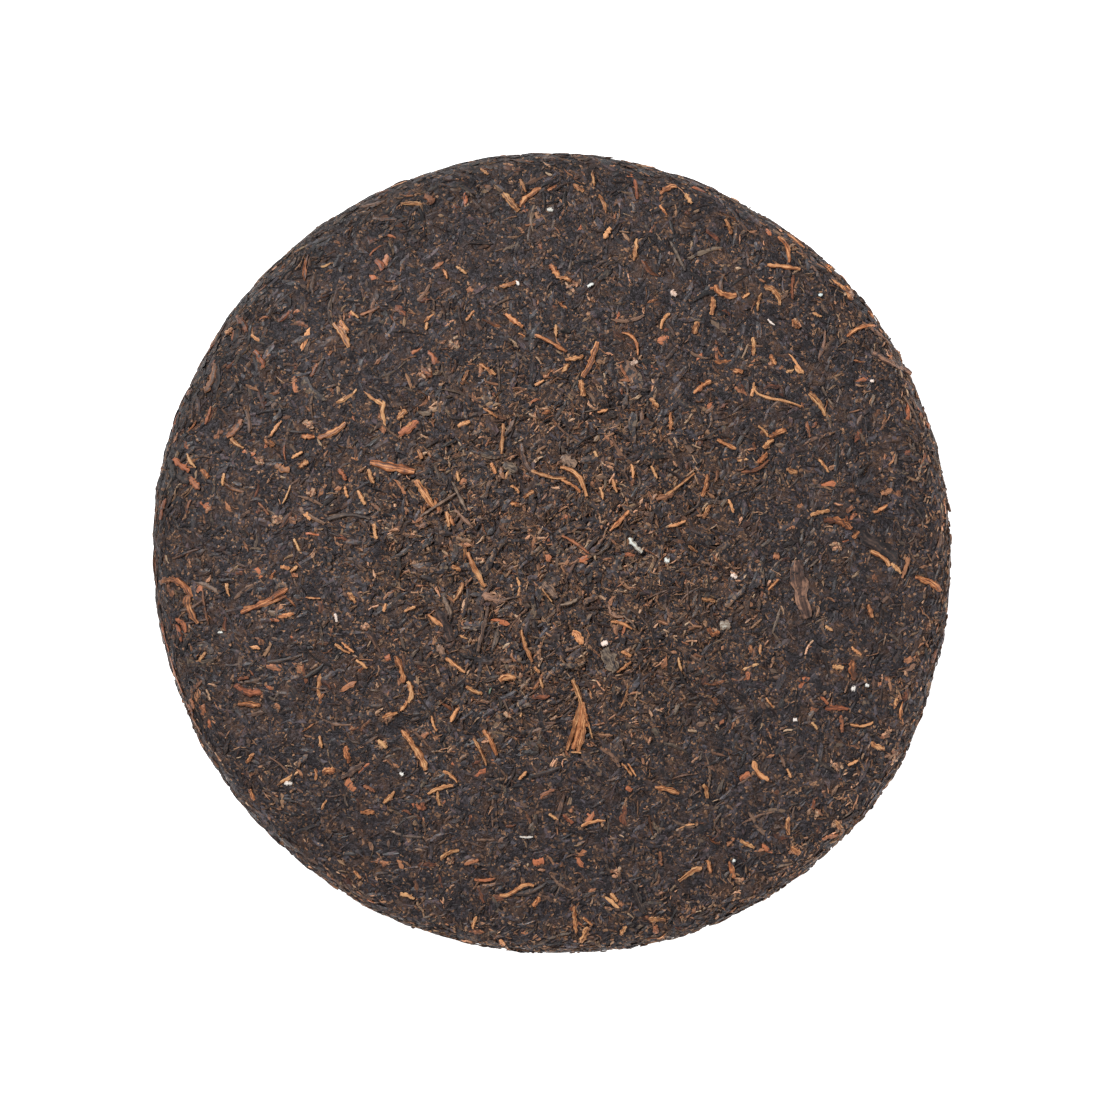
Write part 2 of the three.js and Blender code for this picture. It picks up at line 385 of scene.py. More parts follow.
LUMPS = lumps_tree()
bed = grown("bed", mass, LUMPS, {"Broad": 1.3 * MM, "Fine": 1.2 * MM, "Grain": 0.0})
core = grown("pressed_core", bed.data, LUMPS, {"Broad": 0.0, "Fine": 0.0, "Grain": 1.0 * MM})
print("the core has", len(core.data.polygons) * 2, "triangles")

# %% [markdown]
# ## Finishes
#
# Colours are noted as they stand on screen in the photograph, and turned into the linear values that
# shaders use. The charcoal of the mass is nearly neutral, even a little blue, because dark dry leaf
# mirrors the soft lights. The browns come from leaf tips and torn edges.

# %% Colours
def screen(red, green, blue):
    """A screen colour in linear light"""
    values = np.array([red, green, blue]) / 255
    linear = np.where(values <= 0.04045, values / 12.92, ((values + 0.055) / 1.055) ** 2.4)
    return (*linear.tolist(), 1.0)


SOOT = screen(22, 17, 19)
CHARCOAL = screen(46, 38, 40)
ASH = screen(74, 67, 71)
UMBER = screen(72, 52, 42)
BROWN = screen(182, 136, 102)
FLECK_BROWN = screen(130, 96, 73)
BROWN_HAZE = screen(96, 68, 52)
DARK_HAZE = screen(36, 30, 34)
print("charcoal in linear light:", [round(value, 3) for value in CHARCOAL[:3]])

# %% [markdown]
# The finest stuff is crushed leaf, less than a millimetre wide. It fills every gap, and it also clings
# to the larger shreds. Modelling it would take millions of faces, so a node group paints it: a net of
# small cells bent by noise, each cell with a tone of its own between soot and ash, some of them brown.

# %% The crumb group
CRUMB_SIZE = 0.55 * MM
BEND_SIZE = 0.7 * MM
BEND_REACH = 1.1 * MM
HAZE_SIZE = 5 * MM

# Shade is painted on the rim, darkest towards the upper left, with light painted on the far side: the way
# the shaded side faces, and the share of colour it loses on the shoulder and on the side. The far side
# is painted lighter by at most half of that share
SHADED_WAY = (-0.75, 0.66, 0)
SHOULDER_SHADE = (80 * MM, 92 * MM, 0.16)
SIDE_SHADE = (93 * MM, 98.5 * MM, 0.32)
FAR_SIDE_LIGHT = -0.5


def shader_group(name, sockets, results):
    """A shader node group with named inputs. Returns the tree and its inputs"""
    tree = bpy.data.node_groups.new(name, "ShaderNodeTree")
    for socket_name, kind in sockets.items():
        tree.interface.new_socket(socket_name, in_out="INPUT", socket_type=kind)
    for socket_name, kind in results.items():
        tree.interface.new_socket(socket_name, in_out="OUTPUT", socket_type=kind)
    return tree, tree.nodes.new("NodeGroupInput").outputs


def group_ends(tree, values):
    """Joins values to the outputs of a group"""
    output = tree.nodes.new("NodeGroupOutput")
    for name, value in values.items():
        tree.links.new(value, output.inputs[name])


def blend(tree, share, first, second):
    """A mix of two colours"""
    return add(tree, "ShaderNodeMix", {0: share, 6: first, 7: second}, out=2, data_type="RGBA")


def cells_of(tree, vector, scale):
    """A net of cells: the outputs of the net, and three numbers drawn for each cell"""
    net = add(tree, "ShaderNodeTexVoronoi", {"Vector": vector, "Scale": scale}).node.outputs
    return net, add(tree, "ShaderNodeSeparateColor", {0: net["Color"]}).node.outputs


def painted_rim_shade(tree, place, colour):
    """A colour with shade painted on the rim towards the upper left and light painted on the far side"""
    out = from_axis(tree, place)
    reach = length(tree, out)
    facing = dot(tree, vectors(tree, "NORMALIZE", out), SHADED_WAY)
    share = 0.0
    for start, end, most in (SHOULDER_SHADE, SIDE_SHADE):
        share = total(tree, remap(tree, reach, start, end, 0.0, most), share)
    loss = product(tree, share, sums(tree, "MAXIMUM", facing, FAR_SIDE_LIGHT))
    return vectors(tree, "SCALE", colour, scale=less(tree, 1.0, loss))


def crumb_group():
    results = {"Color": COLOUR, "Height": NUMBER, "Bend": DIRECTION}
    tree, given = shader_group("Tea crumbs", {"Brown": NUMBER}, results)
    place = add(tree, "ShaderNodeTexCoord", out="Object")
    bend = noise(tree, place, BEND_SIZE, 2.0, out=1)
    drift = vectors(tree, "SCALE", vectors(tree, "SUBTRACT", bend, (0.5, 0.5, 0.5)), scale=BEND_REACH)
    bent = vectors(tree, "ADD", place, drift)
    net, picks = cells_of(tree, bent, 1 / CRUMB_SIZE)
    grey = blend(tree, sums(tree, "POWER", picks[0], 1.7), SOOT, ASH)
    brown = blend(tree, sums(tree, "POWER", picks[2], 2.0), UMBER, BROWN)
    shown = sums(tree, "GREATER_THAN", picks[1], less(tree, 1.0, given["Brown"]))
    colour = blend(tree, shown, grey, brown)
    haze = noise(tree, place, HAZE_SIZE, 3.0, 0.65)
    colour = blend(tree, remap(tree, haze, 0.5, 0.7, 0.0, 0.6), colour, BROWN_HAZE)
    colour = blend(tree, remap(tree, haze, 0.46, 0.32, 0.0, 0.7), colour, DARK_HAZE)
    dome = less(tree, picks[0], net["Distance"])
    group_ends(tree, {"Color": colour, "Height": dome, "Bend": bent})
    return tree


CRUMBS = crumb_group()
print("the crumb group has", len(CRUMBS.nodes), "nodes")

# %% [markdown]
# A second group gives every leaf its surface. It reads what each shred carries with it: how far along
# and across it a point lies, its own number and its own tone. Fibres run along the shred, one edge or
# both are darker or catch the light, and crumbs cling to it in patches, as if it were half buried. No
# two leaves aged alike, so each also leans a little to red or to grey.

# %% The leaf group
CLINGING_SIZE = 1.5 * MM

# Fibres are noise drawn out along the leaf: its scale, and how much finer it is across
FIBRE_SCALE, FIBRE_ACROSS = 1.2, 2.4

# What crumbs take from the tone, and what an edge adds to it: darker edges on some shreds, a painted
# highlight on others
CLINGING_TONE = -1.5
EDGE_TONE_OR_HIGHLIGHT = 0.9

# The two ways a leaf ages, as factors on its colour
RED_LEAN = (1.13, 0.94, 0.89, 1)
GREY_LEAN = (0.87, 1.04, 1.11, 1)

# Crumbs cover a leaf where the clinging noise is above this level, less what the kind's dust takes off
DUST_LEVEL, DUST_SHARE, DUST_EDGE = 0.68, 0.3, 0.05

# How brown the crumbs on a leaf are, and its roughness from a smooth fibre to a dull one
CRUMB_BROWN = 0.2
FIBRE_ROUGH = (0.38, 0.75)
LEAF_SHINE = 0.45


def leaf_group():
    sockets = {name: COLOUR for name in ("Dark", "Middle", "Light")}
    sockets |= {name: NUMBER for name in ("Fibre", "Dust", "Lean")}
    results = {"Color": COLOUR, "Roughness": NUMBER, "Height": NUMBER}
    tree, given = shader_group("Leaf surface", sockets, results)

    def carried(name):
        return add(tree, "ShaderNodeAttribute", attribute_name=name).node.outputs["Fac"]

    u, v, number, tone = (carried(name) for name in ("along", "across", "number", "tone"))
    lanes = joined(tree, u, product(tree, v, FIBRE_ACROSS), number)
    grain = {"Vector": lanes, "Scale": FIBRE_SCALE, "Detail": 2.0, "Roughness": 0.6}
    fibres = add(tree, "ShaderNodeTexNoise", grain)
    place = add(tree, "ShaderNodeTexCoord", out="Object")
    clinging = noise(tree, place, CLINGING_SIZE, 3.0, 0.7)
    streak = product(tree, less(tree, fibres, 0.5), given["Fibre"])
    patch = product(tree, less(tree, clinging, 0.5), CLINGING_TONE)
    # The edges of a shred are darker, or lighter as a painted highlight, by its own number
    side = less(tree, own_share(tree, number), 0.6)
    edge = product(tree, sums(tree, "POWER", sums(tree, "ABSOLUTE", v), 3.0), side, EDGE_TONE_OR_HIGHLIGHT)
    level = total(tree, tone, streak, patch, edge)
    colour = blend(tree, remap(tree, level, 0.0, 0.5), given["Dark"], given["Middle"])
    colour = blend(tree, remap(tree, level, 0.5, 1.0), colour, given["Light"])
    aged = product(tree, own_share(tree, number, 0.377), given["Lean"])
    colour = vectors(tree, "MULTIPLY", colour, blend(tree, aged, RED_LEAN, GREY_LEAN))
    crumbs = tree.nodes.new("ShaderNodeGroup")
    crumbs.node_tree = CRUMBS
    crumbs.inputs["Brown"].default_value = CRUMB_BROWN
    least = less(tree, DUST_LEVEL, product(tree, given["Dust"], DUST_SHARE))
    dusty = remap(tree, less(tree, clinging, least), 0.0, DUST_EDGE)
    # Shade is painted on the rim towards the upper left, and light on the far side
    colour = painted_rim_shade(tree, place, blend(tree, dusty, colour, crumbs.outputs["Color"]))
    rough = remap(tree, fibres, 0.3, 0.7, *FIBRE_ROUGH)
    group_ends(tree, {"Color": colour, "Roughness": rough, "Height": total(tree, fibres, clinging)})
    return tree


LEAF = leaf_group()


def bare_material(name):
    """A new material, its tree and its shader"""
    material = bpy.data.materials.new(name)
    material.use_nodes = True
    return material, material.node_tree, material.node_tree.nodes["Principled BSDF"]


def leaf_finish(name, dark, middle, light, fibre=2.0, dust=0.4, lean=1.0):
    """A material for one kind of leaf, from three screen colours"""
    material, tree, shader = bare_material(name)
    group = tree.nodes.new("ShaderNodeGroup")
    group.node_tree = LEAF
    for socket, value in (("Dark", dark), ("Middle", middle), ("Light", light)):
        group.inputs[socket].default_value = screen(*value)
    for socket, value in (("Fibre", fibre), ("Dust", dust), ("Lean", lean)):
        group.inputs[socket].default_value = value
    bump = {"Height": group.outputs["Height"], "Distance": 0.06 * MM, "Strength": 0.8}
    tree.links.new(group.outputs["Color"], shader.inputs["Base Color"])
    tree.links.new(group.outputs["Roughness"], shader.inputs["Roughness"])
    tree.links.new(add(tree, "ShaderNodeBump", bump), shader.inputs["Normal"])
    shader.inputs["Specular IOR Level"].default_value = LEAF_SHINE
    return material


print("the leaf group has", len(LEAF.nodes), "nodes")

# %% [markdown]
# The mass wears the crumbs too, and over them fine shreds: two nets of long narrow cells, turned
# different ways, of which only some cells show. Brown is thickest in patches and in the loose middle.

# %% The finish of the mass
FLECK_TURNS = (0.4, 1.9)
FLECK_LENGTH = 1.7 * MM
FLECK_WIDTH = 0.5 * MM
FLECK_SHARE = 0.02
PATCH_SIZE = 6 * MM

# Brown crumbs cover up to this share of the patches and, between two distances, of the middle
PATCH_BROWN = 0.22
MIDDLE_BROWN = (25 * MM, 70 * MM, 0.2)


def mass_finish():
    material, tree, shader = bare_material("pressed_dust")
    place = add(tree, "ShaderNodeTexCoord", out="Object")
    patches = noise(tree, place, PATCH_SIZE, 3.0, 0.6)
    start, end, most = MIDDLE_BROWN
    reach = length(tree, from_axis(tree, place))
    middle = remap(tree, reach, start, end, most, 0.0, interpolation_type="SMOOTHSTEP")
    cover = total(tree, remap(tree, patches, 0.35, 0.65, 0.0, PATCH_BROWN), middle)
    crumbs = tree.nodes.new("ShaderNodeGroup")
    crumbs.node_tree = CRUMBS
    tree.links.new(cover, crumbs.inputs["Brown"])
    colour, height, bend = (crumbs.outputs[name] for name in ("Color", "Height", "Bend"))
    threshold = less(tree, 1.0, total(tree, product(tree, cover, 0.5), FLECK_SHARE))
    for turn in FLECK_TURNS:
        turned = add(tree, "ShaderNodeVectorRotate", {"Vector": bend, "Angle": turn}, rotation_type="Z_AXIS")
        narrow = vectors(tree, "DIVIDE", turned, (FLECK_LENGTH, FLECK_WIDTH, FLECK_WIDTH))
        net, picks = cells_of(tree, narrow, 1.0)
        inside = remap(tree, net["Distance"], 0.7, 0.5)
        shown = product(tree, sums(tree, "GREATER_THAN", picks[0], threshold), inside)
        tone = blend(tree, sums(tree, "POWER", picks[1], 1.5), CHARCOAL, FLECK_BROWN)
        colour = blend(tree, shown, colour, tone)
        height = total(tree, height, product(tree, shown, picks[2]))
    # Shade is painted on the rim towards the upper left, and light on the far side
    tree.links.new(painted_rim_shade(tree, place, colour), shader.inputs["Base Color"])
    shader.inputs["Roughness"].default_value = 0.6
    shader.inputs["Specular IOR Level"].default_value = 0.35
    bump = add(tree, "ShaderNodeBump", {"Height": height, "Distance": 0.2 * MM, "Strength": 1.0})
    tree.links.new(bump, shader.inputs["Normal"])
    return material


core.data.materials.clear()
core.data.materials.append(mass_finish())
print("the mass wears", core.data.materials[0].name)

# %% [markdown]
# ## Scattering leaf
#
# One tree lays every kind of leaf. Points are dropped on the bed, and each gets its own length, width,
# turn, bow, tilt and tone. A ridged strip of few faces is set on each point, made real, and then bent
# and laid back on the bed vertex by vertex, so that a long shred follows the lumps. Near the rim the
# cloth drags the leaf round, so shreds turn to lie along it.

# %% The scatter tree
# Sizes of the patches in which leaf falls, of the field that turns it, and of its patches of tone
FALL_SIZE, TURN_SIZE, TONE_SIZE = 7 * MM, 15 * MM, 4.5 * MM
FIELD_TURNS = 5
BAREST = 0.05
TONE_SPREAD = 2.2

# Short and narrow leaf is the commonest: the powers that a draw is raised to
LENGTH_POWER, WIDTH_POWER = 1.8, 1.5

# How far leaf leans out of the bed, and strays from the line of the rim that it lies along
LEAN, STRAY = 0.4, 0.45

# In the middle the heights of leaf are spread this many times as far
MIDDLE_SPREAD = 2.5

# The form of a strip: how suddenly it narrows, how much thinner its ends are, how far they slant, and
# how its edges tear along it and from one shred to the next
END_POWER, END_THIN, SLANT = 2.6, 0.4, 0.6
TEAR_SCALE, TEAR_ALONG, TEAR_STEP = 1.4, 1.4, 3.7

# Bands of a share: of the upward part of a normal below, and of facing the chosen side of the rim
UNDER_BAND = (-0.3, -0.6)
SIDE_BAND = (-0.3, 0.5)

# On the table each shred is pressed thin at a height of its own: the most of it, and its thickness
OWN_HEIGHT = 0.15 * MM
PRESSED_THICK = 0.1 * MM

# Half the part of its square in the map that a shred fills
MAP_SHARE = 0.4


def scatter_tree():
    sockets = {name: NUMBER for name in (
        "Density", "Base", "Middle Gain", "Rim Gain", "Patchy", "Underside", "Flow", "Length Min",
        "Length Max", "Width Min", "Width Max", "Thick", "Level", "Level Spread", "Bow", "Tilt", "Ragged",
        "Tip", "Rim Lie",
    )}
    sockets |= {"Rim Side": DIRECTION, "Material": "NodeSocketMaterial"}
    sockets |= {name: WHOLE for name in ("Seed", "Steps", "Sides")}
    tree, given = new_tree("Scattered leaf", sockets)
    place = add(tree, "GeometryNodeInputPosition")

    def draw(low, high, salt):
        seed = total(tree, given["Seed"], salt)
        return add(tree, "FunctionNodeRandomValue", {2: low, 3: high, "Seed": seed}, out=1)

    def keep(geometry, name, value, kind="FLOAT", domain="POINT"):
        inputs = {"Geometry": geometry, "Name": name, "Value": value}
        return add(tree, "GeometryNodeStoreNamedAttribute", inputs, data_type=kind, domain=domain)

    def recall(name, kind="FLOAT"):
        return add(tree, "GeometryNodeInputNamedAttribute", {"Name": name}, data_type=kind)

    def moved_to(geometry, position):
        return add(tree, "GeometryNodeSetPosition", {"Geometry": geometry, "Position": position})

    # Where leaf falls: patchily, thicker in the loose middle, thinner below
    away = from_axis(tree, place)
    reach = length(tree, away)
    middle = remap(tree, reach, *MIDDLE_BAND, 1.0, 0.0, interpolation_type="SMOOTHSTEP")
    patches = product(tree, less(tree, noise(tree, place, FALL_SIZE, 2.0), 0.5), given["Patchy"])
    upward = parts(tree, add(tree, "GeometryNodeInputNormal"))[2]
    below = remap(tree, upward, *UNDER_BAND, 1.0, given["Underside"])
    facing = dot(tree, vectors(tree, "NORMALIZE", away), given["Rim Side"])
    at_rim = remap(tree, reach, *RIM_BAND, 0.0, given["Rim Gain"])
    rim = remap(tree, facing, *SIDE_BAND, 0.0, at_rim)
    share = total(tree, given["Base"], rim, product(tree, middle, given["Middle Gain"]))
    patchy = sums(tree, "MAXIMUM", total(tree, 1.0, patches), BAREST)
    share = product(tree, share, patchy, below, given["Density"])
    dropped = {"Mesh": given["Geometry"], "Density": share, "Seed": given["Seed"]}
    fall = add(tree, "GeometryNodeDistributePointsOnFaces", dropped)
    out = fall.node.outputs["Normal"]

    # Which way each shred lies
    field = product(tree, noise(tree, place, TURN_SIZE, 1.0), FIELD_TURNS * math.tau)
    loose_turn = product(tree, draw(-math.pi, math.pi, 11), less(tree, 1.0, given["Flow"]))
    angle = total(tree, field, loose_turn)
    free = joined(tree, sums(tree, "COSINE", angle), sums(tree, "SINE", angle), draw(-LEAN, LEAN, 12))
    round_rim = vectors(tree, "NORMALIZE", vectors(tree, "CROSS_PRODUCT", (0, 0, 1), away))
    along_rim = vectors(tree, "ADD", round_rim, vectors(tree, "SCALE", free, scale=STRAY))
    lying = remap(tree, reach, *LYING_BAND, 0.0, given["Rim Lie"])
    heading = add(tree, "ShaderNodeMix", {0: lying, 4: free, 5: along_rim}, out=1, data_type="VECTOR")
    turn_to = "FunctionNodeAlignRotationToVector"
    upright = add(tree, turn_to, {"Vector": out}, axis="Z")
    turned = add(tree, turn_to, {"Rotation": upright, "Vector": heading}, axis="X", pivot_axis="Z")
    side = add(tree, "FunctionNodeRotateVector", {"Vector": (0, 1, 0), "Rotation": turned})

    # What each shred carries with it
    sized = sums(tree, "POWER", draw(0.0, 1.0, 13), LENGTH_POWER)
    widened = sums(tree, "POWER", draw(0.0, 1.0, 14), WIDTH_POWER)
    full_length = remap(tree, sized, 0.0, 1.0, given["Length Min"], given["Length Max"])
    full_width = remap(tree, widened, 0.0, 1.0, given["Width Min"], given["Width Max"])
    cluster = product(tree, less(tree, noise(tree, place, TONE_SIZE, 2.0), 0.5), TONE_SPREAD)
    carried = {
        "number": add(tree, "GeometryNodeInputIndex"),
        "tone": total(tree, draw(0.0, 1.0, 15), cluster),
        "long": full_length,
        "wide": full_width,
        "bow": draw(-1.0, 1.0, 16),
        "tilt": draw(-1.0, 1.0, 17),
        "level": product(tree, draw(-0.5, 0.5, 18), remap(tree, middle, 0.0, 1.0, 1.0, MIDDLE_SPREAD)),
        "slant": draw(-1.0, 1.0, 19),
    }
    points = keep(fall, "side", side, "FLOAT_VECTOR")
    points = keep(points, "out", out, "FLOAT_VECTOR")
    for name, value in carried.items():
        points = keep(points, name, value)
    size = joined(tree, product(tree, full_length, 0.5), product(tree, full_width, 0.5), 1.0)

    # The ridged strip that stands for one shred, drawn from a prism that stands on end
    prism = {"Vertices": given["Sides"], "Side Segments": given["Steps"], "Radius": 1.0, "Depth": 2.0}
    strip = add(tree, "GeometryNodeMeshCylinder", prism, fill_type="NGON")
    x, y, z = parts(tree, place)[:3]
    ends = sums(tree, "POWER", sums(tree, "ABSOLUTE", z), END_POWER)
    taper = less(tree, 1.0, product(tree, ends, less(tree, 1.0, given["Tip"])))
    strip = keep(strip, "along", z)
    strip = keep(strip, "across", y)
    strip = keep(strip, "lift", product(tree, x, less(tree, 1.0, product(tree, ends, END_THIN))))
    strip = moved_to(strip, joined(tree, z, product(tree, y, taper)))

    # Set on the points, made real, bent and laid on the bed
    set_down = {"Points": points, "Instance": strip, "Rotation": turned, "Scale": size}
    real = add(tree, "GeometryNodeRealizeInstances", {0: add(tree, "GeometryNodeInstanceOnPoints", set_down)})
    u, v, number = recall("along"), recall("across"), recall("number")
    long, wide, lift = recall("long"), recall("wide"), recall("lift")
    sideways, outward = recall("side", "FLOAT_VECTOR"), recall("out", "FLOAT_VECTOR")
    arch = less(tree, 1.0, product(tree, u, u))
    bend = product(tree, arch, recall("bow"), long, given["Bow"])
    lanes = joined(tree, product(tree, u, TEAR_ALONG), v, product(tree, number, TEAR_STEP))
    torn = add(tree, "ShaderNodeTexNoise", {"Vector": lanes, "Scale": TEAR_SCALE, "Detail": 2.0})
    torn = product(tree, less(tree, torn, 0.5), given["Ragged"], wide)
    shift = vectors(tree, "SCALE", sideways, scale=total(tree, bend, torn))
    slant = product(tree, v, recall("slant"), wide, SLANT)
    forward = vectors(tree, "SCALE", vectors(tree, "CROSS_PRODUCT", sideways, outward), scale=slant)
    moved = vectors(tree, "ADD", vectors(tree, "ADD", place, shift), forward)
    on_bed = {0: given["Geometry"], "Sample Position": moved}
    near = add(tree, "GeometryNodeProximity", on_bed, target_element="FACES")
    rise = product(tree, lift, product(tree, given["Thick"], 0.5))
    level = total(tree, given["Level"], product(tree, recall("level"), given["Level Spread"]))
    lean = product(tree, v, recall("tilt"), wide, given["Tilt"])
    rise = total(tree, rise, level, lean)
    low = parts(tree, vectors(tree, "ADD", near, vectors(tree, "SCALE", outward, scale=rise)))
    thin = product(tree, less(tree, 1.0, lift), PRESSED_THICK)
    rest = total(tree, product(tree, own_share(tree, number), OWN_HEIGHT), thin)
    shaped = moved_to(real, joined(tree, low[0], low[1], sums(tree, "MAXIMUM", low[2], rest)))

    # A small square of the shred's own in the map that the finish can be baked to
    amount = add(tree, "GeometryNodeAttributeDomainSize", {0: fall}, component="POINTCLOUD")
    rows = sums(tree, "CEIL", sums(tree, "SQRT", amount))
    column = sums(tree, "MODULO", number, rows)
    row = sums(tree, "FLOOR", sums(tree, "DIVIDE", number, rows))

    def in_map(cell, way):
        return sums(tree, "DIVIDE", total(tree, cell, 0.5, product(tree, way, MAP_SHARE)), rows)

    mapped = keep(shaped, "OFBake", joined(tree, in_map(column, u), in_map(row, v)), "FLOAT2", "CORNER")
    dressed = add(tree, "GeometryNodeSetMaterial", {"Geometry": mapped, "Material": given["Material"]})
    tree.links.new(dressed, tree.nodes.new("NodeGroupOutput").inputs[0])
    return tree


SCATTER = scatter_tree()
print("the scatter tree has", len(SCATTER.nodes), "nodes")

# %% What one kind of leaf is
PER_MM2 = 1e6
USUAL = {
    "Base": 1.0, "Middle Gain": 0.0, "Rim Gain": 0.0, "Patchy": 2.0, "Underside": 0.5, "Flow": 0.5,
    "Steps": 2, "Sides": 3, "Bow": 0.12, "Tilt": 0.12, "Ragged": 1.0, "Tip": 0.7, "Rim Lie": 1.0,
    "Rim Side": (0.0, 0.0, 0.0),
}


def scatter(name, material, seed, **values):
    """One kind of leaf over the whole cake"""
    settings = USUAL | {key.replace("_", " "): value for key, value in values.items()}
    settings |= {"Seed": seed, "Material": material}
    settings["Density"] *= PER_MM2
    for key in ("Length", "Width"):
        settings[key + " Min"], settings[key + " Max"] = (end * MM for end in settings.pop(key))
    for key in ("Thick", "Level", "Level Spread"):
        settings[key] *= MM
    made = grown(name, bed.data, SCATTER, settings)
    made.data.shade_flat()
    made.data.calc_loop_triangles()
    print(name, "has", len(made.data.loop_triangles), "triangles")
    return made

# %% [markdown]
# ## The kinds of leaf
#
# Charcoal and umber bits make the dark skin. Brown and tan bits are chopped leaf, thickest in the
# loose middle, where broad dull flakes lie too. Rust flakes are leaf that fermented longest, golden
# shreds are the tips, and rolled shreds are twigs and rolled leaf. The rim has dark leaf drawn along
# it at the upper left, brown crumbs at the lower right, where it broke, and tan tips.

# %% Lay each kind
CHARCOAL_LEAF = leaf_finish("charcoal_leaf", (22, 17, 19), (46, 38, 40), (92, 80, 84), dust=0.8)
UMBER_LEAF = leaf_finish("umber_leaf", (38, 31, 33), (67, 54, 50), (111, 87, 72), dust=0.55)
BROWN_LEAF = leaf_finish("brown_leaf", (50, 38, 34), (99, 74, 58), (164, 123, 93), dust=0.5)
TAN_LEAF = leaf_finish("tan_leaf", (80, 56, 43), (152, 109, 81), (216, 172, 138))
RUST_LEAF = leaf_finish("rust_leaf", (62, 39, 32), (125, 78, 54), (186, 120, 83), dust=0.3)
GOLDEN_TIP = leaf_finish("golden_tip", (78, 49, 33), (164, 106, 65), (220, 170, 120), 3.2, 0.1, lean=0.6)
TWIG_LEAF = leaf_finish("twig_leaf", (31, 26, 27), (66, 53, 48), (130, 102, 83), dust=0.45)
ROLLED_LEAF = leaf_finish("rolled_leaf", (34, 29, 30), (82, 66, 59), (156, 126, 104), dust=0.35)
RIM_LEAF = leaf_finish("rim_leaf", (24, 20, 22), (48, 40, 41), (104, 74, 57), 3.0, 0.5)
FLAKE_LEAF = leaf_finish("flake_leaf", (32, 27, 26), (68, 55, 48), (120, 97, 78), 2.6, 0.8)
PALE_BUD = leaf_finish("pale_bud", (150, 124, 106), (212, 194, 176), (248, 246, 238), dust=0.0)
GREEN_FIBRE = leaf_finish("green_fibre", (84, 104, 94), (116, 148, 130), (150, 182, 162), dust=0.0)

# The sides of the rim that loose leaf and crumbs favour
TOP_LEFT = (-0.87, 0.5, 0.0)
LOWER_RIGHT = (0.8, -0.6, 0.0)

loose = [
    scatter(
        "charcoal_bits", CHARCOAL_LEAF, 1, Density=0.22, Length=(1.0, 5.5), Width=(0.6, 2.6), Thick=0.45,
        Level=0.05, Level_Spread=0.4,
    ),
    scatter(
        "umber_bits", UMBER_LEAF, 6, Density=0.15, Middle_Gain=0.5, Length=(0.8, 4.0), Width=(0.4, 1.4),
        Thick=0.45, Level=0.1, Level_Spread=0.4,
    ),
    scatter(
        "brown_bits", BROWN_LEAF, 2, Density=0.048, Middle_Gain=5.2, Patchy=6.0, Length=(0.7, 3.8),
        Width=(0.35, 1.3), Thick=0.4, Level=0.15, Level_Spread=0.4,
    ),
    scatter(
        "tan_bits", TAN_LEAF, 3, Density=0.0145, Middle_Gain=18.0, Patchy=6.0, Length=(0.7, 3.0),
        Width=(0.3, 0.9), Thick=0.4, Level=0.2, Level_Spread=0.35,
    ),
    scatter(
        "middle_flakes", FLAKE_LEAF, 10, Density=0.03, Base=0.1, Middle_Gain=1.0, Length=(2.5, 8.0),
        Width=(0.9, 2.6), Steps=5, Sides=5, Thick=0.5, Level=0.2, Level_Spread=0.4, Ragged=1.3,
    ),
    scatter(
        "rust_flakes", RUST_LEAF, 7, Density=0.0095, Length=(1.4, 4.5), Width=(0.6, 1.8), Steps=4,
        Sides=5, Thick=0.5, Level=0.1, Level_Spread=0.3, Tip=0.8, Ragged=1.6,
    ),
    scatter(
        "golden_shreds", GOLDEN_TIP, 4, Density=0.0028, Patchy=5.0, Length=(2.0, 6.5), Width=(0.5, 1.3),
        Steps=7, Sides=5, Thick=0.6, Level=0.2, Level_Spread=0.3, Tip=0.55, Ragged=1.2,
    ),
    scatter(
        "rolled_shreds", TWIG_LEAF, 5, Density=0.013, Middle_Gain=1.5, Length=(2.5, 9.0),
        Width=(0.5, 1.3), Steps=7, Sides=5, Thick=0.7, Level=0.15, Level_Spread=0.35, Tip=0.5,
    ),
    scatter(
        "rim_leaves", RIM_LEAF, 8, Density=0.08, Base=0.0, Rim_Gain=1.0, Rim_Side=TOP_LEFT, Underside=0.2,
        Length=(1.8, 7.0), Width=(0.5, 1.6), Steps=6, Sides=5, Thick=0.6, Level=0.05, Level_Spread=0.5,
        Bow=0.08, Tip=0.6, Ragged=1.2, Rim_Lie=1.2,
    ),
    scatter(
        "rim_crumbs", BROWN_LEAF, 9, Density=0.4, Base=0.0, Rim_Gain=1.0, Rim_Side=LOWER_RIGHT,
        Underside=0.2, Length=(0.7, 2.4), Width=(0.4, 1.0), Thick=0.5, Level=0.15, Level_Spread=0.7,
        Tilt=0.5, Rim_Lie=0.0, Flow=0.0,
    ),
    scatter(
        "rim_tips", TAN_LEAF, 12, Density=0.16, Base=0.0, Rim_Gain=1.0, Underside=0.2, Length=(0.8, 2.8),
        Width=(0.3, 0.8), Thick=0.5, Level=0.2, Level_Spread=0.5,
    ),
]

# %% [markdown]
# ## Shreds that can be told apart
#
# What makes one cake unlike another are the bright tips and the broad leaves on top of the mass. Each
# was measured on the photograph: the line it follows, in pixels, its width in pixels, and its tone
# from the dark to the light end of its kind. Each is drawn as a ridged strip along that line, with
# torn edges, and dropped on the bed point by point. Among them are thin rust strips down the left
# edge, grey flakes half sunk in the middle, and one fibre of green.

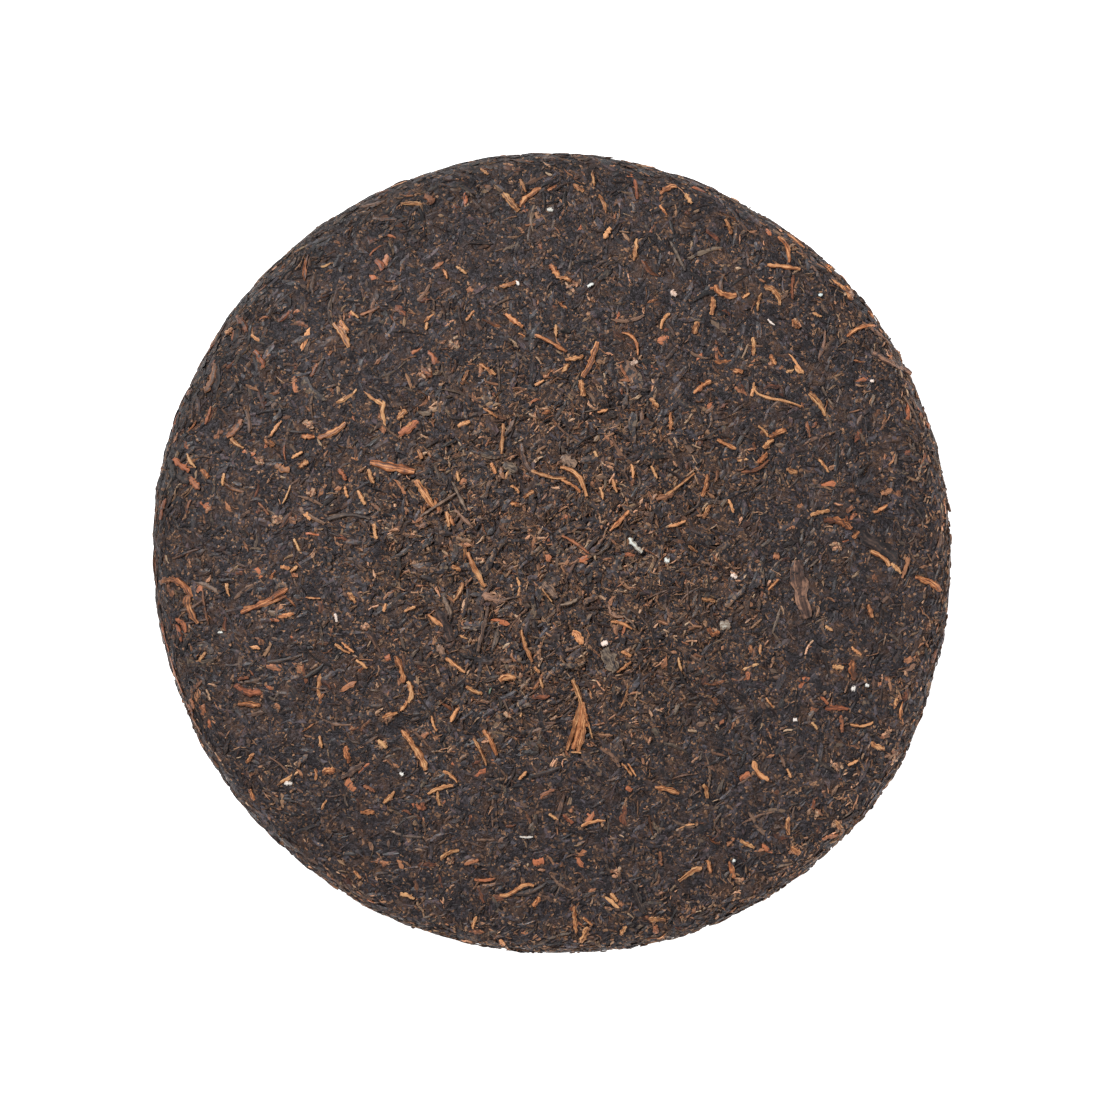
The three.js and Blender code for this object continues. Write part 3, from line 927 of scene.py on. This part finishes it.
# %% The measured shreds
KNOWN_SHREDS = {
    "golden": [
        (6, 0.4, (243, 612), (264, 603), (290, 588)), (4, 0.3, (246, 607), (268, 604), (289, 595)),
        (8, 0.3, (161, 583), (173, 580)), (7, 0.25, (172, 580), (184, 583), (193, 597)),
        (7, 0.3, (192, 594), (190, 606), (200, 623)), (3, 0.6, (228, 583), (232, 596)),
        (4, 0.7, (283, 567), (292, 569)), (3, 0.7, (293, 572), (300, 566)), (4, 0.5, (281, 616), (296, 613)),
        (2, 0.5, (308, 597), (323, 598)), (5, 0.6, (350, 592), (358, 602)), (3, 0.9, (386, 611), (388, 603)),
        (3, 0.6, (406, 611), (417, 606)), (4, 0.5, (201, 661), (208, 652)), (5, 0.3, (240, 703), (263, 704)),
        (3, 0.6, (337, 643), (352, 652)), (3, 0.7, (344, 641), (356, 651)), (3, 0.9, (358, 659), (369, 667)),
        (5, 0.7, (409, 680), (413, 690), (410, 701)), (3, 0.6, (402, 709), (409, 700)),
        (4, 0.6, (384, 716), (399, 711)), (5, 0.8, (380, 738), (389, 745)), (6, 0.4, (324, 770), (337, 768)),
        (3, 0.6, (322, 734), (324, 746)), (5, 0.3, (348, 744), (351, 761)), (5, 0.4, (362, 810), (376, 810)),
        (5, 0.6, (385, 801), (396, 789)), (4, 0.5, (251, 788), (256, 799)), (4, 0.4, (248, 762), (256, 752)),
        (3, 0.5, (230, 583), (229, 590)), (5, 0.5, (403, 728), (415, 741)),
        (7, 0.6, (411, 740), (421, 754), (427, 768)), (4, 0.9, (452, 720), (460, 706)),
        (3, 0.6, (433, 714), (438, 729)), (4, 0.5, (474, 736), (480, 746), (487, 763)),
        (5, 0.5, (484, 728), (491, 738), (497, 753)), (4, 0.7, (429, 792), (440, 786), (454, 783)),
        (3, 0.5, (439, 789), (441, 803)), (3, 0.7, (444, 769), (452, 773), (458, 780)),
        (5, 0.55, (580, 700), (574, 724), (567, 748)), (6, 0.5, (582, 700), (579, 724), (573, 747)),
        (6, 0.6, (583, 704), (583, 724), (578, 749)), (4, 0.3, (572, 678), (577, 690), (582, 705)),
        (5, 0.5, (584, 706), (588, 724)), (2, 0.8, (571, 750), (581, 751)), (2, 0.5, (588, 722), (592, 736)),
        (3, 0.7, (519, 777), (527, 769)), (3, 0.6, (621, 761), (631, 773)), (2, 0.7, (627, 761), (635, 774)),
        (5, 0.5, (654, 785), (665, 787), (678, 791)), (4, 0.4, (702, 782), (706, 796)),
        (3, 0.6, (581, 824), (605, 818)), (3, 0.9, (549, 811), (558, 817)),
        (4, 0.5, (442, 858), (448, 851), (460, 848)),
        (4, 0.7, (500, 893), (513, 890), (521, 884), (534, 883)), (4, 0.8, (401, 892), (415, 897)),
        (5, 0.4, (533, 904), (540, 895)), (4, 0.5, (574, 904), (576, 931)), (6, 0.5, (581, 941), (588, 925)),
        (3, 0.6, (583, 915), (592, 923)), (4, 0.7, (610, 891), (617, 899)), (5, 0.4, (648, 917), (665, 918)),
        (3, 0.5, (657, 938), (667, 932)), (5, 0.5, (678, 879), (690, 870), (701, 866)),
        (4, 0.8, (500, 938), (505, 945)), (3, 0.7, (473, 927), (477, 914)), (4, 0.5, (620, 933), (626, 924)),
        (4, 0.4, (715, 441), (734, 450)), (5, 0.6, (761, 449), (771, 440)), (5, 0.4, (756, 464), (765, 454)),
        (5, 0.4, (705, 475), (700, 497)), (4, 0.4, (708, 506), (702, 519)), (3, 0.9, (726, 500), (731, 513)),
        (3, 0.7, (816, 460), (826, 473)), (5, 0.3, (784, 470), (795, 473)), (7, 0.3, (830, 519), (849, 529)),
        (4, 0.5, (808, 516), (827, 511)), (3, 0.6, (871, 513), (885, 505)),
        (5, 0.7, (868, 551), (880, 557), (887, 566)), (4, 0.8, (889, 563), (899, 573)),
        (6, 0.5, (913, 577), (928, 582), (939, 591)), (5, 0.4, (850, 538), (857, 532)),
        (4, 0.3, (700, 598), (713, 601)), (3, 0.6, (766, 590), (776, 579)), (3, 0.8, (823, 625), (830, 630)),
        (3, 0.8, (849, 646), (859, 654)), (5, 0.5, (866, 604), (870, 617)), (5, 0.8, (830, 666), (841, 667)),
        (8, 0.1, (850, 659), (852, 679)), (3, 0.6, (764, 696), (772, 706)), (3, 0.9, (809, 721), (815, 728)),
        (3, 0.8, (848, 723), (860, 725), (871, 721)), (5, 0.6, (869, 741), (883, 748)),
        (5, 0.9, (752, 759), (756, 770), (767, 778)), (3, 0.7, (785, 767), (789, 776)),
        (4, 0.6, (739, 838), (753, 846)), (3, 0.8, (846, 764), (856, 759)), (6, 0.3, (790, 845), (799, 852)),
        (5, 0.2, (834, 820), (843, 831)), (4, 0.5, (706, 858), (709, 871)), (4, 0.3, (724, 221), (730, 236)),
        (4, 0.4, (777, 238), (786, 249), (788, 264)), (5, 0.6, (766, 267), (782, 268), (799, 271)),
        (5, 0.5, (763, 288), (775, 295), (778, 307)), (6, 0.5, (714, 287), (720, 296), (735, 297)),
        (5, 0.4, (711, 299), (710, 317)), (3, 0.4, (756, 313), (760, 295)), (3, 0.7, (741, 300), (748, 295)),
        (3, 0.6, (811, 314), (820, 318)), (4, 0.5, (845, 338), (858, 329), (876, 326)),
        (6, 0.2, (791, 321), (798, 329)), (4, 0.7, (751, 339), (752, 356)), (4, 0.5, (769, 356), (774, 366)),
        (3, 0.7, (752, 384), (757, 396), (775, 401), (799, 408)),
        (6, 0.6, (807, 394), (817, 405), (823, 417)), (5, 0.5, (731, 373), (741, 374)),
        (5, 0.5, (896, 351), (900, 361)), (5, 0.7, (824, 266), (831, 273)), (5, 0.3, (844, 286), (851, 301)),
        (3, 0.6, (756, 427), (766, 438)), (5, 0.5, (767, 438), (784, 431)), (3, 0.7, (481, 170), (489, 176)),
        (6, 0.6, (503, 195), (510, 203), (519, 213)), (5, 0.5, (520, 209), (527, 199), (541, 190)),
        (3, 0.4, (520, 181), (526, 194)), (4, 0.4, (548, 193), (557, 188)), (4, 0.4, (573, 186), (584, 193)),
        (3, 0.4, (592, 174), (594, 188)), (5, 0.4, (660, 196), (667, 190), (676, 188)),
        (4, 0.8, (685, 195), (691, 205)), (3, 0.5, (659, 207), (666, 217)), (5, 0.8, (604, 241), (610, 230)),
        (4, 0.6, (636, 241), (635, 252), (633, 263)), (6, 0.6, (550, 267), (558, 279)),
        (4, 0.4, (556, 280), (571, 283)), (3, 0.7, (457, 269), (467, 276)), (3, 0.6, (444, 272), (448, 281)),
        (4, 0.4, (500, 289), (518, 283)), (5, 0.7, (506, 316), (514, 323), (523, 329)),
        (3, 0.5, (467, 323), (475, 313)), (3, 0.7, (556, 327), (556, 339)),
        (4, 0.6, (535, 337), (550, 344), (566, 354)), (4, 0.6, (565, 362), (583, 358)),
        (4, 0.6, (562, 374), (568, 366)), (6, 0.4, (597, 344), (591, 362), (582, 379)),
        (6, 0.6, (580, 382), (583, 398)), (3, 0.5, (621, 335), (633, 341), (637, 357)),
        (3, 0.8, (660, 331), (663, 321), (669, 316)), (6, 0.3, (693, 336), (696, 324)),
        (5, 0.6, (692, 395), (700, 388), (709, 382)), (4, 0.5, (480, 366), (496, 377)),
        (4, 0.3, (469, 372), (462, 386)), (3, 0.7, (535, 387), (544, 382)), (3, 0.9, (427, 332), (428, 324)),
        (7, 0.1, (424, 371), (433, 379)), (4, 0.7, (459, 428), (471, 423)), (6, 0.5, (399, 421), (408, 412)),
        (4, 0.8, (408, 429), (414, 424)), (3, 0.6, (484, 410), (498, 419)),
        (4, 0.5, (504, 425), (503, 440), (502, 455)), (4, 0.4, (669, 414), (669, 431)),
        (4, 0.5, (649, 400), (657, 409)), (3, 0.8, (597, 414), (607, 411)), (5, 0.5, (226, 334), (234, 329)),
        (6, 0.6, (335, 325), (345, 338), (351, 349)), (4, 0.6, (342, 322), (350, 333)),
        (3, 0.8, (352, 313), (360, 320)), (4, 0.5, (233, 439), (246, 449)), (3, 0.7, (273, 437), (284, 422)),
        (6, 0.2, (267, 440), (277, 446)), (5, 0.5, (304, 437), (317, 438)),
        (6, 0.5, (320, 439), (334, 434), (348, 424)), (3, 0.8, (189, 454), (198, 468)),
        (5, 0.4, (203, 470), (211, 478)), (3, 0.9, (225, 486), (227, 474)),
        (2, 0.8, (285, 504), (289, 497), (293, 486)), (3, 0.8, (294, 459), (305, 453)),
        (5, 0.5, (302, 468), (311, 463)), (8, 0.45, (372, 464), (394, 468), (416, 473)),
        (4, 0.8, (360, 491), (367, 505)), (4, 0.6, (371, 470), (376, 484)), (3, 0.8, (347, 487), (350, 498)),
        (4, 0.8, (376, 524), (379, 539)), (3, 0.9, (296, 539), (302, 551)),
        (6, 0.6, (417, 481), (425, 492), (435, 507)), (4, 0.6, (448, 512), (450, 527)),
        (3, 0.5, (561, 481), (580, 493)), (5, 0.7, (560, 468), (577, 476), (586, 497)),
        (4, 0.5, (526, 468), (545, 477), (566, 479)), (3, 0.8, (630, 465), (632, 479)),
        (3, 0.8, (650, 467), (656, 479)), (4, 0.6, (609, 531), (620, 520), (628, 511)),
        (3, 0.6, (612, 480), (616, 493)), (3, 0.6, (660, 499), (674, 489), (693, 474)),
        (3, 0.7, (667, 527), (684, 521)), (5, 0.6, (469, 552), (476, 570), (486, 586)),
        (4, 0.5, (455, 600), (464, 582)), (4, 0.7, (447, 657), (466, 671)),
        (4, 0.45, (522, 629), (525, 643), (533, 660)), (7, 0.75, (572, 631), (578, 635), (581, 643)),
        (6, 0.6, (500, 679), (508, 675), (516, 677)), (4, 0.7, (467, 685), (483, 692)),
        (4, 0.7, (430, 614), (440, 622), (451, 628)), (6, 0.4, (397, 655), (405, 681)),
        (3, 0.8, (677, 656), (680, 669)), (4, 0.6, (620, 651), (630, 655)), (4, 0.5, (453, 566), (462, 570)),
        (5, 0.2, (707, 627), (711, 633), (717, 630)), (3, 0.6, (535, 665), (540, 671)),
        (3, 0.5, (540, 676), (543, 686)), (3, 0.6, (610, 621), (620, 622), (631, 628)),
        (3, 0.3, (616, 671), (623, 666), (630, 660)), (2, 0.4, (542, 588), (547, 595), (552, 601)),
        (3, 0.4, (452, 516), (455, 526)), (3, 0.9, (458, 472), (460, 482)), (4, 0.7, (492, 464), (496, 475)),
        (3, 0.6, (511, 487), (516, 489), (519, 494)), (4, 0.5, (524, 499), (534, 492)),
        (4, 0.6, (511, 504), (519, 505)), (3, 0.8, (599, 488), (602, 500)), (3, 0.9, (594, 452), (597, 458)),
        (4, 0.3, (542, 415), (550, 413)), (5, 0.4, (420, 450), (423, 460)),
    ],
    "rust": [
        (8, 0.6, (237, 684), (250, 691), (263, 690)), (3, 0.5, (240, 679), (251, 677)),
        (4, 0.4, (195, 691), (204, 680)), (4, 0.6, (178, 624), (183, 641)), (5, 0.5, (189, 704), (193, 716)),
        (3, 0.5, (205, 590), (207, 606), (211, 624)), (3, 0.9, (475, 877), (495, 876)),
        (4, 0.9, (465, 862), (479, 857)), (7, 1.0, (533, 860), (544, 858)), (5, 0.7, (654, 924), (656, 932)),
        (4, 0.7, (659, 849), (661, 863)), (4, 0.9, (625, 785), (631, 788)),
        (3, 0.5, (739, 473), (755, 470), (766, 461)), (4, 0.9, (907, 554), (904, 566), (900, 578)),
        (5, 0.3, (821, 520), (842, 521)), (6, 1.0, (771, 555), (777, 557)), (5, 0.5, (823, 707), (846, 708)),
        (4, 0.7, (839, 714), (840, 731)), (4, 0.8, (726, 844), (733, 836)), (4, 0.9, (761, 842), (771, 851)),
        (4, 0.8, (821, 838), (838, 834)), (5, 0.9, (879, 495), (890, 490)), (3, 0.5, (792, 277), (791, 301)),
        (9, 0.5, (427, 194), (434, 205)), (3, 0.5, (634, 181), (637, 201)), (6, 0.5, (237, 317), (248, 333)),
        (4, 0.6, (362, 317), (381, 309)), (5, 0.6, (256, 352), (266, 369)), (4, 0.5, (313, 378), (319, 365)),
        (6, 0.5, (206, 392), (212, 384), (217, 364)), (3, 0.7, (207, 425), (213, 407)),
        (6, 0.6, (229, 438), (238, 430), (244, 420)), (6, 0.8, (175, 459), (183, 466), (191, 472)),
        (7, 0.8, (192, 477), (202, 489)), (3, 0.8, (175, 443), (179, 433)),
        (4, 0.5, (162, 520), (164, 508), (168, 499)), (3, 0.5, (189, 513), (193, 500)),
        (7, 0.7, (278, 465), (292, 471)), (2, 0.6, (287, 446), (288, 461)), (3, 0.6, (261, 503), (271, 515)),
        (4, 0.7, (341, 470), (348, 481)), (3, 0.8, (562, 536), (575, 543), (589, 554)),
        (6, 0.4, (655, 500), (672, 494)), (7, 0.8, (401, 436), (412, 429), (419, 422)),
        (4, 0.6, (365, 784), (376, 790)), (2, 0.6, (158, 490), (157, 510), (156, 528)),
        (2, 0.5, (156, 532), (156, 552), (156, 572)), (2, 0.7, (157, 576), (158, 594), (160, 610)),
        (2, 0.6, (161, 614), (165, 634), (170, 652)), (2, 0.8, (171, 656), (177, 676), (185, 697)),
        (2, 0.6, (187, 701), (194, 718), (203, 734)), (5, 0.7, (177, 619), (184, 623), (187, 632)),
        (4, 0.8, (192, 698), (195, 708)),
    ],
    "rolled": [
        (6, 0.8, (871, 354), (890, 364), (911, 374)), (4, 0.6, (479, 650), (484, 628), (489, 606)),
        (4, 0.7, (454, 483), (460, 497), (468, 511)), (4, 0.7, (456, 510), (464, 518), (474, 528)),
        (3, 0.7, (422, 517), (440, 505), (457, 494)), (4, 0.6, (669, 244), (677, 258), (684, 273)),
        (6, 0.5, (343, 776), (353, 770), (366, 761)), (7, 0.2, (631, 881), (637, 895), (644, 911)),
        (14, 0.45, (794, 560), (798, 588), (806, 617)), (16, 0.1, (856, 532), (874, 545), (894, 560)),
        (3, 0.7, (820, 388), (824, 397), (832, 408)), (4, 0.6, (942, 488), (946, 500), (950, 512)),
        (10, 0.1, (178, 476), (191, 483)), (8, 0.1, (169, 459), (176, 480)), (3, 0.5, (785, 630), (793, 639)),
        (5, 0.4, (330, 520), (350, 515), (372, 519)), (12, 0.1, (440, 610), (452, 640)),
        (3, 0.6, (500, 600), (520, 596)), (3, 0.9, (560, 604), (570, 602), (580, 596)),
        (4, 0.9, (607, 604), (613, 614), (622, 616)), (3, 0.8, (622, 615), (629, 620), (634, 627)),
        (14, 0.6, (603, 648), (610, 660), (616, 668)), (7, 0.9, (440, 644), (443, 651), (446, 658)),
        (5, 0.7, (445, 596), (449, 606), (452, 617)), (8, 0.8, (483, 594), (494, 598), (506, 600)),
        (8, 0.7, (543, 583), (550, 590), (556, 598)), (4, 0.8, (464, 627), (471, 627), (478, 629)),
        (5, 0.5, (522, 445), (525, 462), (535, 476)), (9, 0.9, (561, 458), (568, 462), (576, 466)),
        (8, 0.6, (504, 465), (511, 468), (518, 472)),
    ],
    "pale": [
        (5, 0.8, (601, 644), (607, 641)), (5, 0.9, (849, 687), (853, 688)), (5, 0.6, (663, 560), (668, 561)),
        (2, 0.6, (766, 321), (773, 327)), (4, 0.9, (863, 684), (867, 685)),
        (5, 0.3, (628, 538), (633, 545), (641, 552)), (4, 0.8, (791, 718), (795, 718)),
        (3, 0.7, (733, 857), (733, 860)), (3, 0.6, (868, 382), (872, 382)), (4, 0.5, (286, 782), (294, 782)),
        (3, 0.4, (220, 632), (225, 632)), (3, 0.4, (337, 613), (339, 621)), (2, 0.3, (520, 834), (533, 834)),
        (9, -0.2, (718, 625), (728, 625)), (5, -0.1, (630, 367), (637, 364)),
        (3, 0.6, (587, 289), (593, 286)), (5, 0.3, (670, 293), (675, 298)), (3, 0.5, (516, 283), (519, 288)),
        (4, 0.3, (547, 212), (553, 213)), (4, 0.4, (729, 574), (735, 577)), (4, 0.7, (401, 771), (405, 773)),
        (3, 0.5, (817, 297), (821, 296)),
    ],
    "fibre": [
        (2, 0.5, (490, 692), (492, 686)),
    ],
    "side": [
        (8, 0.3, (518, 945), (568, 948), (617, 945)),
    ],
}

# Rosettes, where a bud was crushed flat: the middle and the radius of each, in pixels
ROSETTES = [
    (885, 734, 7), (836, 765, 6), (893, 755, 10), (817, 812, 6), (837, 823, 7), (791, 848, 8), (738, 880, 6),
    (723, 625, 7), (712, 631, 6), (834, 547, 7), (382, 743, 6), (388, 714, 9), (367, 625, 7), (280, 520, 6),
    (310, 426, 7), (263, 462, 6), (313, 493, 6), (345, 333, 9), (572, 290, 9), (455, 345, 8), (428, 373, 8),
    (616, 870, 7), (627, 652, 6), (452, 858, 6), (487, 735, 8), (508, 712, 7), (795, 325, 6), (770, 362, 6),
    (848, 292, 7),
]
ROSETTE_LEAVES = 12
print("measured shreds:", sum(len(rows) for rows in KNOWN_SHREDS.values()), "and rosettes:", len(ROSETTES))

# %% Laying a measured shred
KNOWN_STEPS = 10
KNOWN_SIDES = 6

# How far a straight shred may bow, how its edge is torn, and how it narrows and sinks to its ends
KNOWN_BOW = 0.08
TORN_EDGE = (0.6, 1.4)
NARROWING = 0.4
SINKING = 0.5

# A shred's edge stays within this height of its middle, so none hangs down over the rim
STEEPEST = 0.8 * MM

# In the loose middle the scattered leaf stands higher, and so do the measured shreds
MIDDLE_LIFT = 0.35 * MM

# How thick each kind is, and how high its middle stands over the bed
KNOWN_THICK = {"side": 4.4 * MM, "rosette": 0.5 * MM}
KNOWN_LEVEL = {"side": -4.6 * MM, "rosette": 0.35 * MM}
USUAL_THICK = 0.8 * MM
USUAL_LEVEL = 0.42 * MM

# Pale shreds lose some light to the crumbs beside them, narrow ones most: what is added to their tone,
# and what is added for each pixel that they are narrower than a broad shred
TONE_GAIN = {"golden": 0.0, "pale": 0.28}
NARROW_GAIN = 0.05
BROAD = 5.5


def shown_tone(kind, row):
    """The tone of a measured shred, made up for the shade that it lies in"""
    if kind not in TONE_GAIN:
        return row[1]
    return row[1] + TONE_GAIN[kind] + NARROW_GAIN * max(0.0, BROAD - row[0])


def rosette_rows(dice):
    """The short leaves of every rosette, turned round its middle"""
    rows = []
    for column, row, radius in ROSETTES:
        for _ in range(ROSETTE_LEAVES):
            turn, swing = dice.uniform(0, math.tau, 2)
            out, half = radius * dice.uniform(0.1, 0.75), radius * dice.uniform(0.2, 0.45)
            x, y = column + out * math.cos(turn), row + out * math.sin(turn)
            start = (x - half * math.cos(swing), y - half * math.sin(swing))
            end = (x + half * math.cos(swing), y + half * math.sin(swing))
            rows.append((dice.uniform(1.8, 4.0), dice.uniform(0.0, 0.8), start, end))
    return rows


def bed_height(x, y):
    """The height of the bed at a place, or nothing past the rim"""
    found, place, _, _ = bed.ray_cast((x, y, 2 * THICKNESS), (0, 0, -1))
    return place.z if found else math.nan


def carried_on(heights):
    """Heights along a line, where the part past the rim keeps the height it had at the rim"""
    known = ~np.isnan(heights)
    steps = np.arange(len(heights))
    return np.interp(steps, steps[known], heights[known])


def known_shred(row, thick, level, dice):
    """The vertices of one measured shred, ring by ring, with its place along and across"""
    width, _, *line = row
    line = np.array([from_photo(*pixel) for pixel in line])
    if len(line) == 2:
        run = line[1] - line[0]
        bow = dice.uniform(-KNOWN_BOW, KNOWN_BOW) * np.array([-run[1], run[0]])
        line = np.insert(line, 1, line.mean(0) + bow, 0)
    share = np.linspace(-1, 1, KNOWN_STEPS + 1)
    knots = np.linspace(-1, 1, len(line))
    x, y = (np.polyval(np.polyfit(knots, line[:, axis], len(line) - 1), share) for axis in (0, 1))
    heading = np.stack([np.gradient(x), np.gradient(y)], 1)
    heading /= np.linalg.norm(heading, axis=1)[:, None]
    half = width * PIXEL / 2 * (1 - NARROWING * np.abs(share) ** 3)
    torn = dice.uniform(*TORN_EDGE, (2, KNOWN_STEPS + 1))
    turn = np.arange(KNOWN_SIDES) / KNOWN_SIDES * math.tau
    middle = carried_on(np.array([bed_height(*place) for place in zip(x, y)]))
    reach = np.hypot(x - AXIS.x, y - AXIS.y)
    lift = level + np.interp(reach, MIDDLE_BAND, (MIDDLE_LIFT, 0))
    vertices = []
    for step, way in enumerate(share):
        for angle in turn:
            edge = torn[0 if math.cos(angle) > 0 else 1, step]
            off = half[step] * edge * math.cos(angle)
            px = x[step] - heading[step, 1] * off
            py = y[step] + heading[step, 0] * off
            rise = lift[step] + thick / 2 * math.sin(angle) * (1 - SINKING * way**4)
            ground = bed_height(px, py)
            if not abs(ground - middle[step]) < STEEPEST:
                ground = middle[step]
            vertices.append((px, py, ground + rise, way, math.cos(angle)))
    return vertices


def known_piece(name, kind, material, seed):
    """All measured shreds of one kind as one mesh"""
    dice = np.random.default_rng(seed)
    rows = rosette_rows(dice) if kind == "rosette" else KNOWN_SHREDS[kind]
    thick, level = KNOWN_THICK.get(kind, USUAL_THICK), KNOWN_LEVEL.get(kind, USUAL_LEVEL)
    ring = np.arange(KNOWN_SIDES)
    after = (ring + 1) % KNOWN_SIDES
    band = np.stack([ring, after, KNOWN_SIDES + after, KNOWN_SIDES + ring], 1)[:, ::-1]
    quads = np.vstack([band + step * KNOWN_SIDES for step in range(KNOWN_STEPS)])
    count = (KNOWN_STEPS + 1) * KNOWN_SIDES
    points, faces = [], []
    for number, row in enumerate(rows):
        first = number * count
        tone = shown_tone(kind, row)
        points += [(*vertex, number, tone) for vertex in known_shred(row, thick, level, dice)]
        faces += (quads + first).tolist()
        faces += [(first + ring).tolist(), (first + count - 1 - ring).tolist()]
    points = np.array(points)
    mesh = bpy.data.meshes.new(name)
    mesh.from_pydata(points[:, :3].tolist(), [], faces)
    for column, label in ((3, "along"), (4, "across"), (5, "number"), (6, "tone")):
        values = points[:, column].astype(np.float32)
        mesh.attributes.new(label, "FLOAT", "POINT").data.foreach_set("value", values)
    side = math.ceil(math.sqrt(len(rows)))
    corner = np.zeros(len(mesh.loops), np.int32)
    mesh.loops.foreach_get("vertex_index", corner)
    at = points[corner]
    u = (at[:, 5] % side + 0.5 + MAP_SHARE * at[:, 3]) / side
    v = (at[:, 5] // side + 0.5 + MAP_SHARE * at[:, 4]) / side
    spots = np.stack([u, v], 1).ravel().astype(np.float32)
    mesh.uv_layers.new(name="OFBake").data.foreach_set("uv", spots)
    mesh.materials.append(material)
    mesh.shade_flat()
    piece = bpy.data.objects.new(name, mesh)
    bpy.context.collection.objects.link(piece)
    print(name, "has", len(rows), "shreds")
    return piece


bpy.context.view_layer.update()
loose += [
    known_piece("known_golden_tips", "golden", GOLDEN_TIP, 11),
    known_piece("known_rust_flakes", "rust", RUST_LEAF, 12),
    known_piece("known_rolled_leaves", "rolled", ROLLED_LEAF, 13),
    known_piece("known_pale_buds", "pale", PALE_BUD, 14),
    known_piece("known_rosettes", "rosette", TAN_LEAF, 15),
    known_piece("known_green_fibre", "fibre", GREEN_FIBRE, 17),
    known_piece("known_side_leaf", "side", CHARCOAL_LEAF, 16),
]

# %% [markdown]
# ## Handing over
#
# The core stands for the solid of the frame, and every scattered piece rides on the same body.

# %% Hand the pieces over
bpy.data.objects.remove(bed)
for piece in [core, *loose]:
    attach(piece, "root")
    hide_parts("tea_cake")

# %% [markdown]
# ## The table, the lights and the camera
#
# The photograph is a studio picture from straight above, on white. Even light from all sides fills
# the gaps, and one large soft light from the upper left gives each shred its small shadow.

# %% Table
FLOOR_SIZE = 4.0
FLOOR_GAP = 0.3 * MM
FLOOR_GREY = 0.93


def pale_floor():
    work = bmesh.new()
    bmesh.ops.create_grid(work, x_segments=1, y_segments=1, size=FLOOR_SIZE / 2)
    mesh = bpy.data.meshes.new("floor")
    work.to_mesh(mesh)
    work.free()
    material, _, shader = bare_material("pale_floor")
    shader.inputs["Base Color"].default_value = (FLOOR_GREY, FLOOR_GREY, FLOOR_GREY, 1)
    shader.inputs["Roughness"].default_value = 0.9
    shader.inputs["Specular IOR Level"].default_value = 0.0
    shader.inputs["Emission Color"].default_value = (1, 1, 1, 1)
    shader.inputs["Emission Strength"].default_value = 1.0
    mesh.materials.append(material)
    floor = bpy.data.objects.new("floor", mesh)
    floor.location.z = -FLOOR_GAP
    bpy.context.collection.objects.link(floor)
    return floor


pale_floor()

# %% Lights
def soft_light(name, place, size, power):
    data = bpy.data.lights.new(name, "AREA")
    data.shape = "DISK"
    data.size = size
    data.energy = power
    light = bpy.data.objects.new(name, data)
    light.location = place
    light.rotation_euler = (-Vector(place)).to_track_quat("-Z", "Y").to_euler()
    bpy.context.collection.objects.link(light)
    return light


soft_light("key_light", place=(-0.9, 0.9, 1.4), size=0.5, power=34.6)
soft_light("right_light", place=(1.3, -0.7, 0.8), size=0.9, power=9)

# The room gives a low even light, but a camera sees it as white as the table
ROOM_LIGHT = 0.205

world = bpy.data.worlds.new("studio")
world.use_nodes = True
room = world.node_tree
seen = add(room, "ShaderNodeLightPath", out="Is Camera Ray")
background = room.nodes["Background"]
background.inputs["Color"].default_value = (1, 1, 1, 1)
room.links.new(sums(room, "MAXIMUM", seen, ROOM_LIGHT), background.inputs["Strength"])
bpy.context.scene.world = world
bpy.context.scene.view_settings.view_transform = "Standard"

# %% Camera
CAMERA_HEIGHT = 1.4
SENSOR = 36
SEEN_WIDTH = PHOTO_SIZE * PIXEL

camera_data = bpy.data.cameras.new("camera")
camera_data.sensor_width = SENSOR
camera_data.lens = SENSOR * (CAMERA_HEIGHT - RIM_HEIGHT) / SEEN_WIDTH
camera = bpy.data.objects.new("camera", camera_data)
middle_x, middle_y = from_photo(PHOTO_SIZE / 2, PHOTO_SIZE / 2)
camera.location = (middle_x, middle_y, CAMERA_HEIGHT)
bpy.context.collection.objects.link(camera)
bpy.context.scene.camera = camera
print("lens of", round(camera_data.lens), "mm")
